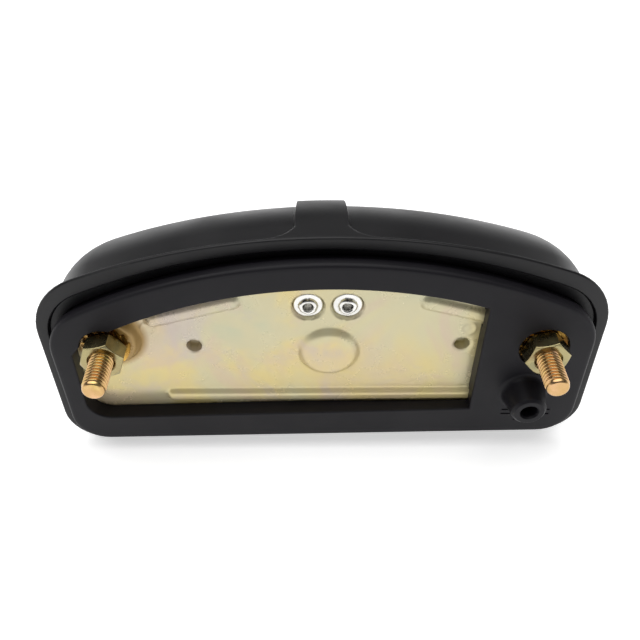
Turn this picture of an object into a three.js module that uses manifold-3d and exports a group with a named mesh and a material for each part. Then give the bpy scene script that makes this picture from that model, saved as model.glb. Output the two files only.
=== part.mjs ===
// Motorcycle tail light with a pressed steel base plate, two mounting studs, a moulded
// housing, a red lens and two bulbs lying head to head across the lamp.
//
// Frame, in millimetres: Y = 0 is the mounting face, the rear face of the rubber gasket.
// +Y points out of that face along the studs, -Y towards the lens. +Z is up.
// X = 0 is the centre plane and Z = 0 is the stud line.

import * as THREE from 'three';
import { LoftGeometry } from 'three/addons/geometries/LoftGeometry.js';
import { mergeVertices } from 'three/addons/utils/BufferGeometryUtils.js';
import Module from 'manifold-3d';

const wasm = await Module();
wasm.setup();

// ---------------------------------------------------------------- driving dimensions

const GAP = 0.3; // between pieces that rest on each other
const HOLE_PLAY = 0.1; // radial play of a shank in its hole
const CUT_REACH = 60; // length of a cutter that passes through everything in its way

// The lamp's body sits on its studs a little off square: turned about Y, then moved along X.
const BODY_TURN = 1; // degrees
const BODY_SHIFT = 0.6;

// Outlines in the XZ plane: a crowned top arc, shoulder arcs, upright sides and foot arcs.
const RIM = { halfWidth: 71.9, top: 30.7, bottom: -37.9, crown: 166, shoulder: 18, foot: 11 };
const RECESS = { halfWidth: 69, top: 27.4, bottom: -34.8, crown: 150, shoulder: 15, foot: 9 };
const PAD = { halfWidth: 68.3, top: 26.3, bottom: -33, crown: 136, shoulder: 14, foot: 9 };
const PAD_NECK = { halfWidth: 66.9, top: 24.9, bottom: -31.6, crown: 135, shoulder: 12.6, foot: 8 };
const PLATE = { halfWidth: 65.2, top: 23.4, bottom: -28.5, crown: 134, shoulder: 11, foot: 5 };

// Housing
const RIM_FACE_Y = -4.5;
const RIM_THICKNESS = 1.6;
const RECESS_STEP_Y = -5.6; // the pad's ledge
const RECESS_FLOOR_Y = -7; // where the gasket's lip stands
const FLOOR_THICKNESS = 1.8;
const SHELL_INSET = 3; // step from the rim in to the shell
const SHELL_BEND_Y = -14.4; // where the shell starts to curve in
const SHELL_BEND_RADIUS = 28;
const SHELL_FRONT_Y = -32;
const SHELL_WALL = 2.2;
const SEAT_WIDTH = 4; // the shell's edge, thickened where the lens seal lies
const RIB_HALF_WIDTH = 6.5;
const RIB_FILLET = 7;
const RIB_RISE = { rim: 3, front: 1.6 }; // above the shell
const PAD_PLAY = 0.5; // round the gasket's lip, in the housing and over the base plate
const PLATE_PLAY = 0.4; // round the base plate's skirt, in the housing's floor

// Lens
const LENS_BACK_Y = SHELL_FRONT_Y - 1.6;
const LENS_WALL = 2.2;
const LENS_EDGE = { turn: 0.2, inset: 4, levels: 4 }; // where its rounded edge ends, radians short of flat
const LENS_CROWN = 0.8; // rise of the lens's front beyond its rounded edge
const LENS_SEAL_INSET = { outer: 1.2, inner: SEAT_WIDTH - 0.2 }; // in from the shell's edge
const SCREW_SEAL_THICKNESS = 0.8;
const SCREW_HEAD_HEIGHT = 2.2;
const SCREW_SLOT = { halfWidth: 0.55, depth: 1.1 };
const PILLAR = { flange: 6, flangeThickness: 1.2, body: 3.8, insert: 2.1, insertDepth: 14 };
const LENS_SCREW = { x: 42, z: -15.5, boss: 4.4, head: 3.6, shank: 1.95, bore: 2.3, length: 15.5 };
const LENS_FACE_Y = -37.8; // seat of the screw seals
const LENS_BOSS = { front: LENS_FACE_Y - 1.5, back: LENS_BACK_Y + 1.2, play: 0.5 };

// Number plate window in the floor of the housing
const WINDOW = { halfWidth: 22, front: -27.5, back: -12.5, bottom: -45, top: -20 };

// Gasket
const PAD_THICKNESS = 3.2;
const PAD_BACK_Y = -4.5;
const PAD_MIDDLE_Y = -1; // the neck, the lip and the cable boss start inside the pad's front band
const PAD_WINDOW = {
  left: -39.2,
  right: 63.5,
  footLeft: -22.4,
  footRight: -25.1,
  corner: 6,
  chamfer: { along: 3, down: 2 },
  crownX: -1.5,
  top: 19.1,
  crown: 120,
};
const CABLE_BOSS = { x: -52.9, z: -15.7, base: 6, tip: 4.5, height: 7.5, rounding: 0.8, bore: 2.2 };
const CABLE_HOLE_RADIUS = 3.4; // in the base plate

// Base plate
const PLATE_FACE_Y = -4.8;
const SHEET = 1;
const SKIRT_DEPTH = 5;
const PRESSED_THINNING = 0.9; // of the sheet, in the flank of a pressed boss
const STUD_X = 55;
const STUD_BOSS = { foot: 8.4, face: 7.9, height: 2.7 };
const DISC = { x: -1, z: -5, foot: 7.9, face: 7, height: 1.6 };
const BEADS = [[-44, -21.1, 40.7, -21.1], [23, 11.6, 43, 5.9], [-25.3, 11.2, -43, 6.1]]; // x, z of both ends
const BEAD_WIDTH = 4.6;
const BEAD_HEIGHT = 1.2;
const LOCATING_CUPS = [[-35.4, -2.9], [33.7, -3.3]]; // x, z
const CUP = { radius: 2.1, wall: 0.8, depth: 3.7 };

// M6 fasteners
const STUD = { radius: 2.95, tip: 14, chamfer: 0.7, headRadius: 6, headBack: -5.2, headFront: -3.4 };
const NUT = { acrossCorners: 11.4, back: -0.7, front: 4.3, bore: 3.05, leftTurn: -10.9, rightTurn: -12.7 };
const WASHER = { outer: 6.1, root: 4.9, inner: 3.2, back: -2, front: -0.8, teeth: 12 };
const WASHER_HOLE_RADIUS = 6.6; // in the gasket, over a wider pocket for the stud boss

// Bracket rivets
const RIVET = { x: [-5.4, 4.4], z: 9.9, flange: 3.75, collar: 2.25, shank: 1.6, bore: 1.2, boreEnd: -8.2 };
const RIVET_HEAD = { seat: 0.05, edge: 0.7, rise: 0.9, lip: 1.7 }; // heights over the well's floor
const RIVET_TAIL = { back: -8.9, front: -9.8, flare: 1.3, taper: 1.1 };
const RIVET_WELL = { radius: 4, depth: 1.3 };
const RIVET_FLANGE_Y = PLATE_FACE_Y - RIVET_WELL.depth;

// Bulb carrier: distances along each bulb's own axis start at the centre plane
const BULB_AXIS = { y: -24.5, z: 1.5 };
const WEB = { inner: 2.2, outer: 3.4, back: -7.6, arm: 8.5, bend: -17, bottom: -8, shoulder: 5, wireHole: 3 };
const FOOT = { halfWidth: 10, front: -8.6, back: -7.4, bottom: -10, top: 14.2 };
const SOCKET = { base: 3.7, mouth: 20.4, bore: 7.7, outer: 8.5, wall: 1, wireHole: 3 };
const SLOT = { radius: 8, cut: 4, length: 5.6, width: 7.4, offset: -1.6, channel: 2.8, channelOffset: -3.9 };
const CONTACT_DISC = { back: 7.9, front: 8.9, radius: 7.2, stemRadius: 1.2, stemBack: 2.4 };
const CAP = { tip: 9.2, base: 10.2, mouth: 24, radius: 7.5, wall: 0.5 };
const PIN = { axial: 17.4, radius: 1, reach: 8.9 };
const SPRING = { radius: 5.2, wire: 0.4, turns: 3 };

const ARC_STEPS = 4; // half the number of straight pieces in each arc of an outline
const ROUND = 16; // sides of a turned piece
const FINE_ROUND = 20;
const WIRE_SIDES = 5;

// ---------------------------------------------------------------- solids

// A manifold solid from a closed three.js geometry, turned face out if need be.
function toSolid(geometry) {
  const bare = new THREE.BufferGeometry();
  bare.setAttribute('position', geometry.getAttribute('position'));
  bare.setIndex(geometry.index);
  const merged = mergeVertices(bare, 1e-4);
  const corners = [];
  for (let i = 0; i < merged.index.count; i += 3) {
    const [a, b, c] = merged.index.array.slice(i, i + 3);
    if (a !== b && b !== c && c !== a) corners.push(a, b, c);
  }
  const build = (triVerts) => new wasm.Manifold(new wasm.Mesh({
    numProp: 3,
    vertProperties: merged.attributes.position.array,
    triVerts: Uint32Array.from(triVerts),
  }));
  const solid = build(corners);
  return solid.volume() > 0 ? solid : build(corners.reverse());
}

function toGeometry(solid) {
  const mesh = solid.getMesh();
  const geometry = new THREE.BufferGeometry();
  geometry.setAttribute('position', new THREE.BufferAttribute(mesh.vertProperties, 3));
  geometry.setIndex(new THREE.BufferAttribute(mesh.triVerts, 1));
  const flat = geometry.toNonIndexed();
  flat.computeVertexNormals();
  return flat;
}

const join = (first, ...others) => others.reduce((whole, piece) => whole.add(piece), first);
const cut = (first, ...others) => others.reduce((whole, piece) => whole.subtract(piece), first);

// An XZ outline as a slab whose +Y face is at faceY.
function slab(shape, faceY, thickness, curveSegments = ARC_STEPS) {
  const geometry = new THREE.ExtrudeGeometry(shape, {
    depth: thickness,
    bevelEnabled: false,
    curveSegments,
  });
  geometry.rotateX(Math.PI / 2);
  geometry.translate(0, faceY, 0);
  return toSolid(geometry);
}

// A profile of [radius, y] points turned about the Y axis and moved to x, z.
function turned(profile, x = 0, z = 0, sides = ROUND) {
  const geometry = new THREE.LatheGeometry(profile.map(([r, y]) => new THREE.Vector2(r, y)), sides);
  geometry.translate(x, 0, z);
  return toSolid(geometry);
}

function rod(radius, y0, y1, x = 0, z = 0, sides = ROUND) {
  return turned([[0, y0], [radius, y0], [radius, y1], [0, y1]], x, z, sides);
}

function block(x0, x1, y0, y1, z0, z1) {
  const geometry = new THREE.BoxGeometry(x1 - x0, y1 - y0, z1 - z0);
  geometry.translate((x0 + x1) / 2, (y0 + y1) / 2, (z0 + z1) / 2);
  return toSolid(geometry);
}

// Turns and moves a solid of the lamp's body into its place on the studs.
const seated = (solid) => solid.rotate([0, BODY_TURN, 0]).translate([BODY_SHIFT, 0, 0]);

// ---------------------------------------------------------------- outlines

function outline({ halfWidth, top, bottom, crown, shoulder, foot }) {
  const crownZ = top - crown;
  const shoulderX = halfWidth - shoulder;
  const shoulderZ = crownZ + Math.sqrt((crown - shoulder) ** 2 - shoulderX ** 2);
  const turn = Math.atan2(shoulderZ - crownZ, shoulderX);
  const footX = halfWidth - foot;
  const footZ = bottom + foot;
  const shape = new THREE.Shape();
  shape.absarc(footX, footZ, foot, -Math.PI / 2, 0);
  shape.absarc(shoulderX, shoulderZ, shoulder, 0, turn);
  shape.absarc(0, crownZ, crown, turn, Math.PI - turn);
  shape.absarc(-shoulderX, shoulderZ, shoulder, Math.PI - turn, Math.PI);
  shape.absarc(-footX, footZ, foot, Math.PI, Math.PI * 1.5);
  shape.closePath();
  return shape;
}

// The gasket's window: round at its left end, square at its right, crowned on top.
function windowOutline() {
  const { left, right, footLeft, footRight, corner, chamfer, crownX, top, crown } = PAD_WINDOW;
  const crownZ = top - crown;
  const topAt = (x) => crownZ + Math.sqrt(crown ** 2 - (x - crownX) ** 2);
  const shape = new THREE.Shape();
  const shoulder = right - chamfer.along;
  shape.moveTo(left, footLeft);
  shape.lineTo(right - corner, footRight);
  shape.absarc(right - corner, footRight + corner, corner, -Math.PI / 2, 0);
  shape.lineTo(right, topAt(right) - chamfer.down);
  shape.lineTo(shoulder, topAt(shoulder));
  const start = Math.atan2(topAt(shoulder) - crownZ, shoulder - crownX);
  const end = Math.atan2(topAt(left) - crownZ, left - crownX);
  shape.absarc(crownX, crownZ, crown, start, end);
  shape.closePath();
  return shape;
}

// A straight bead with round ends between two points.
function beadOutline(x0, z0, x1, z1, width) {
  const along = Math.atan2(z1 - z0, x1 - x0);
  const shape = new THREE.Shape();
  shape.absarc(x1, z1, width / 2, along - Math.PI / 2, along + Math.PI / 2);
  shape.absarc(x0, z0, width / 2, along + Math.PI / 2, along + Math.PI * 1.5);
  shape.closePath();
  return shape;
}

// How far the shell's outer surface stands in from the rim's outline at a given depth.
function shellInset(y) {
  const past = Math.max(0, SHELL_BEND_Y - y);
  return SHELL_INSET + SHELL_BEND_RADIUS - Math.sqrt(SHELL_BEND_RADIUS ** 2 - past ** 2);
}

// A solid through copies of the rim's outline, each drawn in by its own inset.
function lampLoft(levels) {
  const halfHeight = (RIM.top - RIM.bottom) / 2;
  const middle = (RIM.top + RIM.bottom) / 2;
  const ring = outline(RIM).getPoints(ARC_STEPS).slice(0, -1);
  const sections = levels.map(({ y, inset }) => ring.map((p) => new THREE.Vector3(
    p.x * (1 - inset / RIM.halfWidth),
    y,
    middle + (p.y - middle) * (1 - inset / halfHeight),
  )));
  return toSolid(new LoftGeometry(sections, { capStart: true, capEnd: true }));
}

// ---------------------------------------------------------------- housing

const SHELL_DEPTHS = [RIM_FACE_Y - RIM_THICKNESS / 2, SHELL_BEND_Y, -19, -23.5, -28, SHELL_FRONT_Y];

function shellLoft() {
  return lampLoft(SHELL_DEPTHS.map((y) => ({ y, inset: shellInset(y) })));
}

// The shell drawn out by the rib's rise, which falls away towards the lens.
function ribLoft() {
  const { rim, front } = RIB_RISE;
  const start = SHELL_DEPTHS[0];
  return lampLoft(SHELL_DEPTHS.map((y) => ({
    y,
    inset: shellInset(y) - rim - ((front - rim) * (y - start)) / (SHELL_FRONT_Y - start),
  })));
}

// The room inside the shell, from backY out through its front edge.
function shellCavity(backY) {
  const depths = [backY, ...SHELL_DEPTHS.slice(1, -1)];
  const levels = depths.map((y) => ({ y, inset: shellInset(y) + SHELL_WALL }));
  const seat = shellInset(SHELL_FRONT_Y) + SEAT_WIDTH;
  levels.push({ y: SHELL_FRONT_Y, inset: seat }, { y: SHELL_FRONT_Y - 1, inset: seat });
  return lampLoft(levels);
}

// The rib's footprint seen from above: its sides flare into the rim with a fillet.
function ribBlank() {
  const rimY = RIM_FACE_Y - RIM_THICKNESS / 2;
  const start = rimY - 1;
  const reach = RIB_HALF_WIDTH + RIB_FILLET;
  const shape = new THREE.Shape();
  shape.moveTo(-reach, rimY);
  shape.lineTo(reach, rimY);
  shape.lineTo(reach, start);
  shape.absarc(reach, start - RIB_FILLET, RIB_FILLET, Math.PI / 2, Math.PI, false);
  shape.lineTo(RIB_HALF_WIDTH, SHELL_FRONT_Y);
  shape.lineTo(-RIB_HALF_WIDTH, SHELL_FRONT_Y);
  shape.absarc(-reach, start - RIB_FILLET, RIB_FILLET, 0, Math.PI / 2, false);
  shape.closePath();
  const geometry = new THREE.ExtrudeGeometry(shape, {
    depth: CUT_REACH,
    bevelEnabled: false,
    curveSegments: ARC_STEPS + 1,
  });
  return toSolid(geometry);
}

function housing() {
  const rim = slab(outline(RIM), RIM_FACE_Y, RIM_THICKNESS);
  const shell = shellLoft();
  const rib = ribLoft().intersect(ribBlank());
  const floorBackY = RECESS_FLOOR_Y - FLOOR_THICKNESS;
  const above = RIM_FACE_Y + 1; // the cutters start clear of the rim's face
  const ledge = slab(outline(RECESS), above, above - RECESS_STEP_Y);
  const pocket = slab(grown(PAD_NECK, PAD_PLAY), above, above - RECESS_FLOOR_Y);
  const opening = slab(grown(PLATE, PLATE_PLAY), 0, CUT_REACH / 3);
  const { halfWidth, front, back, bottom, top } = WINDOW;
  const windowHole = block(-halfWidth, halfWidth, front, back, bottom, top);
  return seated(cut(join(rim, shell, rib), ledge, pocket, shellCavity(floorBackY), opening, windowHole));
}

// The same outline moved outwards by a small distance.
function grown(base, by) {
  return outline({
    halfWidth: base.halfWidth + by,
    top: base.top + by,
    bottom: base.bottom - by,
    crown: base.crown + by,
    shoulder: base.shoulder + by,
    foot: base.foot + by,
  });
}

function numberPlateWindow() {
  const { halfWidth, front, back, bottom, top } = WINDOW;
  const wall = cut(shellLoft(), shellCavity(RECESS_FLOOR_Y - FLOOR_THICKNESS));
  const x = halfWidth - GAP;
  return seated(wall.intersect(block(-x, x, front + GAP, back - GAP, bottom, top)));
}

// ---------------------------------------------------------------- lens

// Levels of the lens's outer surface, or of its inner one when thickness is given. The
// lens carries on the shell's own arc, with its centre of curvature at SHELL_BEND_Y.
function lensLevels(thickness) {
  const radius = SHELL_BEND_RADIUS - thickness;
  const start = Math.asin((SHELL_BEND_Y - LENS_BACK_Y) / radius);
  const end = Math.PI / 2 - LENS_EDGE.turn;
  const steps = LENS_EDGE.levels;
  const levels = [];
  for (let i = 0; i <= steps; i += 1) {
    const turn = start + ((end - start) * i) / steps;
    levels.push({
      y: SHELL_BEND_Y - radius * Math.sin(turn),
      inset: SHELL_INSET + SHELL_BEND_RADIUS + GAP - radius * Math.cos(turn),
    });
  }
  const last = levels[steps];
  levels.push({ y: last.y - LENS_CROWN, inset: last.inset + LENS_EDGE.inset });
  if (thickness) levels.unshift({ y: LENS_BACK_Y + 1, inset: levels[0].inset });
  return levels;
}

function lens() {
  const { x, z, boss, bore, head } = LENS_SCREW;
  const outer = lampLoft(lensLevels(0));
  let shell = seated(cut(outer, lampLoft(lensLevels(LENS_WALL))));
  for (const side of [-1, 1]) {
    shell = shell.add(rod(boss, LENS_BOSS.front, LENS_BOSS.back, side * x, z));
  }
  for (const side of [-1, 1]) {
    shell = cut(
      shell,
      rod(bore, -CUT_REACH, 0, side * x, z),
      rod(head + LENS_BOSS.play, -CUT_REACH, LENS_FACE_Y, side * x, z),
    );
  }
  return shell;
}

function lensSeal() {
  const back = SHELL_FRONT_Y - GAP;
  const front = LENS_BACK_Y + GAP;
  const outer = shellInset(SHELL_FRONT_Y) + LENS_SEAL_INSET.outer;
  const inner = shellInset(SHELL_FRONT_Y) + LENS_SEAL_INSET.inner;
  return seated(cut(
    lampLoft([{ y: back, inset: outer }, { y: front, inset: outer }]),
    lampLoft([{ y: back + 1, inset: inner }, { y: front - 1, inset: inner }]),
  ));
}

// ---------------------------------------------------------------- gasket

function gasket() {
  const frontBand = slab(outline(PAD), 0, PAD_THICKNESS);
  const neck = slab(outline(PAD_NECK), PAD_MIDDLE_Y, PAD_MIDDLE_Y - PAD_BACK_Y);
  const lip = cut(
    slab(outline(PAD_NECK), PAD_MIDDLE_Y, PAD_MIDDLE_Y - RECESS_FLOOR_Y - GAP),
    slab(grown(PLATE, PAD_PLAY), 0, CUT_REACH / 3),
  );
  const { x, z, base, tip, height, rounding, bore } = CABLE_BOSS;
  const boss = turned([[0, PAD_MIDDLE_Y], [base, PAD_MIDDLE_Y], [base, 0.4], [tip, height - rounding],
    [tip - 0.7, height], [0, height]], x, z);
  const beadRelief = BEADS.map(([x0, z0, x1, z1]) => slab(
    beadOutline(x0, z0, x1, z1, BEAD_WIDTH + 2 * GAP),
    PLATE_FACE_Y + BEAD_HEIGHT + GAP,
    BEAD_HEIGHT + 1,
  ));
  const bossFaceY = PLATE_FACE_Y + STUD_BOSS.height;
  const bossRelief = [-1, 1].flatMap((side) => [
    rod(STUD_BOSS.foot + GAP, -CUT_REACH, bossFaceY + GAP, side * STUD_X, 0, FINE_ROUND),
    rod(WASHER_HOLE_RADIUS, -CUT_REACH, 1, side * STUD_X, 0, FINE_ROUND),
  ]);
  return cut(
    seated(join(frontBand, neck, lip)).add(boss),
    slab(windowOutline(), 1, CUT_REACH / 6),
    rod(bore, -CUT_REACH, CUT_REACH, x, z),
    ...bossRelief,
    ...beadRelief,
  );
}

// ---------------------------------------------------------------- base plate

// A hollow raised boss pressed out of the sheet: its outside, and the hollow behind it.
function pressing(foot, face, height) {
  const inset = SHEET * PRESSED_THINNING;
  return {
    outside: [[0, PLATE_FACE_Y - SHEET / 2], [foot, PLATE_FACE_Y - SHEET / 2], [foot, PLATE_FACE_Y],
      [face, PLATE_FACE_Y + height], [0, PLATE_FACE_Y + height]],
    hollow: [[0, -2 * SKIRT_DEPTH], [foot - inset, -2 * SKIRT_DEPTH],
      [foot - inset, PLATE_FACE_Y - SHEET / 2], [face - inset, PLATE_FACE_Y + height - SHEET],
      [0, PLATE_FACE_Y + height - SHEET]],
  };
}

function basePlate() {
  const skirtDepth = SHEET + SKIRT_DEPTH;
  let plate = seated(cut(
    slab(outline(PLATE), PLATE_FACE_Y, skirtDepth),
    slab(grown(PLATE, -SHEET), PLATE_FACE_Y - SHEET, skirtDepth),
  ));
  const stud = pressing(STUD_BOSS.foot, STUD_BOSS.face, STUD_BOSS.height);
  for (const side of [-1, 1]) {
    plate = cut(plate.add(turned(stud.outside, side * STUD_X, 0, FINE_ROUND)),
      turned(stud.hollow, side * STUD_X, 0, FINE_ROUND),
      rod(STUD.radius + HOLE_PLAY, -CUT_REACH, CUT_REACH, side * STUD_X, 0));
  }
  for (const x of RIVET.x) {
    const well = RIVET_WELL.radius;
    plate = cut(plate.add(rod(well + SHEET, RIVET_FLANGE_Y - SHEET, PLATE_FACE_Y, x, RIVET.z)),
      rod(well, RIVET_FLANGE_Y, 0, x, RIVET.z),
      rod(RIVET.shank + HOLE_PLAY, -CUT_REACH, 0, x, RIVET.z));
  }
  for (const [x, z] of LOCATING_CUPS) {
    const { radius, wall, depth } = CUP;
    const floor = PLATE_FACE_Y - depth;
    plate = cut(plate.add(rod(radius + wall, floor - wall, PLATE_FACE_Y - wall, x, z)),
      rod(radius, floor, 0, x, z));
  }
  const disc = pressing(DISC.foot, DISC.face, DISC.height);
  plate = cut(plate.add(turned(disc.outside, DISC.x, DISC.z, FINE_ROUND)),
    turned(disc.hollow, DISC.x, DISC.z, FINE_ROUND));
  for (const [x0, z0, x1, z1] of BEADS) {
    const bead = beadOutline(x0, z0, x1, z1, BEAD_WIDTH);
    plate = plate.add(slab(bead, PLATE_FACE_Y + BEAD_HEIGHT, BEAD_HEIGHT + SHEET * 0.4));
  }
  const { x, z } = CABLE_BOSS;
  return cut(plate, rod(CABLE_HOLE_RADIUS, -CUT_REACH, 0, x, z));
}

// ---------------------------------------------------------------- fasteners

function mountingStud(x) {
  const { radius, tip, chamfer, headRadius, headBack, headFront } = STUD;
  return turned([[0, headBack], [headRadius, headBack], [headRadius, headFront], [radius, headFront],
    [radius, tip - chamfer], [radius - chamfer, tip], [0, tip]], x);
}

function hexNut(x, turnDegrees) {
  const radius = NUT.acrossCorners / 2;
  const shape = new THREE.Shape();
  for (let i = 0; i < 6; i += 1) {
    const a = THREE.MathUtils.degToRad(turnDegrees) + (i * Math.PI) / 3;
    const point = [x + radius * Math.cos(a), radius * Math.sin(a)];
    if (i === 0) shape.moveTo(...point);
    else shape.lineTo(...point);
  }
  shape.closePath();
  const flat = radius * Math.cos(Math.PI / 6);
  const fall = (radius - flat) * Math.tan(Math.PI / 6);
  const envelope = turned([[0, NUT.back], [flat, NUT.back], [radius, NUT.back + fall],
    [radius, NUT.front - fall], [flat, NUT.front], [0, NUT.front]], x, 0, FINE_ROUND);
  const body = slab(shape, NUT.front, NUT.front - NUT.back).intersect(envelope);
  return cut(body, rod(NUT.bore, -CUT_REACH, CUT_REACH, x));
}

function starWasher(x) {
  const { outer, root, inner, back, front, teeth } = WASHER;
  const shape = new THREE.Shape();
  for (let i = 0; i < teeth; i += 1) {
    const a = (i / teeth) * Math.PI * 2;
    const step = (Math.PI * 2) / teeth;
    const corners = [[root, a], [outer, a + step * 0.22], [outer, a + step * 0.7], [root, a + step * 0.82]];
    corners.forEach(([r, angle], k) => {
      const point = [x + r * Math.cos(angle), r * Math.sin(angle)];
      if (i === 0 && k === 0) shape.moveTo(...point);
      else shape.lineTo(...point);
    });
  }
  shape.closePath();
  return cut(slab(shape, front, front - back), rod(inner, -CUT_REACH, CUT_REACH, x));
}

function bracketRivet(x) {
  const face = RIVET_FLANGE_Y;
  const { flange, collar, shank, bore, boreEnd } = RIVET;
  const { seat, edge, rise, lip } = RIVET_HEAD;
  const { back, front, flare, taper } = RIVET_TAIL;
  return turned([[0, boreEnd], [bore, boreEnd], [bore, face + lip], [collar, face + lip],
    [collar, face + rise], [flange, face + edge], [flange, face + seat], [shank, face + seat],
    [shank, back], [shank + flare, back], [shank + taper, front], [0, front]], x, RIVET.z);
}

// ---------------------------------------------------------------- bulb carrier

// Places a solid modelled along +Y (distance from the centre plane) on a bulb's axis.
function acrossLamp(solid, side) {
  const geometry = toGeometry(solid);
  geometry.rotateZ((-side * Math.PI) / 2);
  geometry.translate(0, BULB_AXIS.y, BULB_AXIS.z);
  return toSolid(geometry);
}

function bulbBracket() {
  const foot = block(-FOOT.halfWidth, FOOT.halfWidth, FOOT.front, FOOT.back, FOOT.bottom, FOOT.top);
  const { y, z } = BULB_AXIS;
  const webShape = new THREE.Shape();
  // Drawn in Y and Z, from the foot forwards to a round-ended arm behind each socket.
  webShape.moveTo(WEB.back, WEB.bottom);
  webShape.lineTo(WEB.back, WEB.shoulder);
  webShape.lineTo(WEB.bend, z + WEB.arm);
  webShape.lineTo(y, z + WEB.arm);
  webShape.absarc(y, z, WEB.arm, Math.PI / 2, Math.PI * 1.5, false);
  webShape.closePath();
  const blank = new THREE.ExtrudeGeometry(webShape, {
    depth: WEB.outer - WEB.inner,
    bevelEnabled: false,
    curveSegments: ARC_STEPS + 2,
  });
  // Shape x is row Y and shape y is row Z, so the extrusion runs along row X.
  blank.applyMatrix4(new THREE.Matrix4().set(0, 0, 1, WEB.inner, 1, 0, 0, 0, 0, 1, 0, 0, 0, 0, 0, 1));
  const right = toSolid(blank);
  const left = right.translate([-(WEB.inner + WEB.outer), 0, 0]);
  let bracket = join(foot, right, left);
  const hole = acrossLamp(rod(WEB.wireHole, -2 * WEB.outer, 2 * WEB.outer), 1);
  bracket = cut(bracket, hole);
  for (const x of RIVET.x) {
    bracket = cut(bracket, rod(RIVET.shank + HOLE_PLAY, -CUT_REACH / 5, 0, x, RIVET.z));
  }
  return bracket;
}

function bulbSocket(side) {
  const { base, mouth, bore, outer, wall, wireHole } = SOCKET;
  const tube = turned([[wireHole, base], [outer, base], [outer, mouth], [bore, mouth], [bore, base + wall],
    [wireHole, base + wall], [wireHole, base]], 0, 0, FINE_ROUND);
  // Each bayonet slot: a window that the pin turns in and a channel out of the mouth.
  const slots = [0, Math.PI].map((at) => {
    const turning = new THREE.BoxGeometry(SLOT.cut, SLOT.length, SLOT.width);
    turning.translate(SLOT.radius, PIN.axial - 0.9, SLOT.offset);
    turning.rotateY(at);
    const channel = new THREE.BoxGeometry(SLOT.cut, 2 * SLOT.cut, SLOT.channel);
    channel.translate(SLOT.radius, mouth - SLOT.cut / 2, SLOT.channelOffset);
    channel.rotateY(at);
    return toSolid(turning).add(toSolid(channel));
  });
  return acrossLamp(cut(tube, ...slots), side);
}

function contactPlunger(side) {
  const { back, front, radius, stemRadius, stemBack } = CONTACT_DISC;
  return acrossLamp(turned([[0, stemBack], [stemRadius, stemBack], [stemRadius, back], [radius, back],
    [radius, front], [0, front]]), side);
}

class Helix extends THREE.Curve {
  constructor(radius, start, length, turns) {
    super();
    Object.assign(this, { radius, start, length, turns });
  }

  getPoint(t, target = new THREE.Vector3()) {
    const a = t * this.turns * Math.PI * 2;
    const { radius, start, length } = this;
    return target.set(radius * Math.cos(a), start + length * t, radius * Math.sin(a));
  }
}

function circleOutline(radius, sides) {
  const shape = new THREE.Shape();
  shape.absarc(0, 0, radius, 0, Math.PI * 2);
  return new THREE.Shape(shape.getSpacedPoints(sides).slice(0, -1));
}

function contactSpring(side) {
  const { radius, wire, turns } = SPRING;
  const start = SOCKET.base + SOCKET.wall + wire + 0.1;
  const length = CONTACT_DISC.back - wire - 0.1 - start;
  const geometry = new THREE.ExtrudeGeometry(circleOutline(wire, WIRE_SIDES), {
    steps: turns * 8,
    extrudePath: new Helix(radius, start, length, turns),
    bevelEnabled: false,
  });
  return acrossLamp(toSolid(geometry), side);
}

// ---------------------------------------------------------------- bulbs

const TAIL_BULB = { glass: 9, length: 35 };
const BRAKE_BULB = { glass: 12, length: 45 };
const GLASS_WALL = 0.7;
const GLASS_NECK = 6.9;
const FILAMENT = { wire: 0.3, leg: 1.8, coil: 2.4, shoulder: 3, foot: 4 };

function bulbCap(side) {
  const { tip, base, mouth, radius, wall } = CAP;
  const shell = turned([[0, tip], [2.4, tip], [2.4, base], [radius, base], [radius, mouth],
    [radius - wall, mouth], [radius - wall, base + 3], [0, base + 3]]);
  const pins = [0, Math.PI].map((at) => {
    const geometry = new THREE.CylinderGeometry(PIN.radius, PIN.radius, 2.4, 12);
    geometry.rotateZ(Math.PI / 2);
    geometry.translate(PIN.reach - 1.2, PIN.axial, 0);
    geometry.rotateY(at);
    return toSolid(geometry);
  });
  return acrossLamp(join(shell, ...pins), side);
}

// The envelope's profile, drawn in from the outside by inward: a neck, a flare and a globe.
function globeProfile(bulb, inward) {
  const r = bulb.glass - inward;
  const centre = CAP.tip + bulb.length - bulb.glass;
  const neck = GLASS_NECK - inward;
  const flare = Math.asin((neck + 0.6) / r);
  const points = [[neck, CAP.mouth + GAP], [neck, centre - r * Math.cos(flare) - 1]];
  const steps = 7;
  for (let i = 0; i < steps; i += 1) {
    const a = flare + ((Math.PI - flare) * i) / steps;
    points.push([r * Math.sin(a), centre - r * Math.cos(a)]);
  }
  points.push([0, centre + r]);
  return points;
}

function bulbGlass(bulb, side) {
  const outside = globeProfile(bulb, 0);
  const inside = globeProfile(bulb, GLASS_WALL).reverse();
  return acrossLamp(turned([...outside, ...inside, outside[0]]), side);
}

function bulbFilament(bulb, side) {
  const top = CAP.tip + bulb.length - bulb.glass;
  const foot = CAP.base + FILAMENT.foot;
  const { leg, coil, shoulder } = FILAMENT;
  const route = new THREE.CatmullRomCurve3([
    [-leg, foot], [-leg, top - 7], [-shoulder, top - 2], [-coil, top], [0, top + 0.5],
    [coil, top], [shoulder, top - 2], [leg, top - 7], [leg, foot],
  ].map(([x, y]) => new THREE.Vector3(x, y, 0)), false, 'catmullrom', 0.2);
  const geometry = new THREE.ExtrudeGeometry(circleOutline(FILAMENT.wire, WIRE_SIDES), {
    steps: 20,
    extrudePath: route,
    bevelEnabled: false,
  });
  return acrossLamp(toSolid(geometry), side);
}

// ---------------------------------------------------------------- lens fixing

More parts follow.
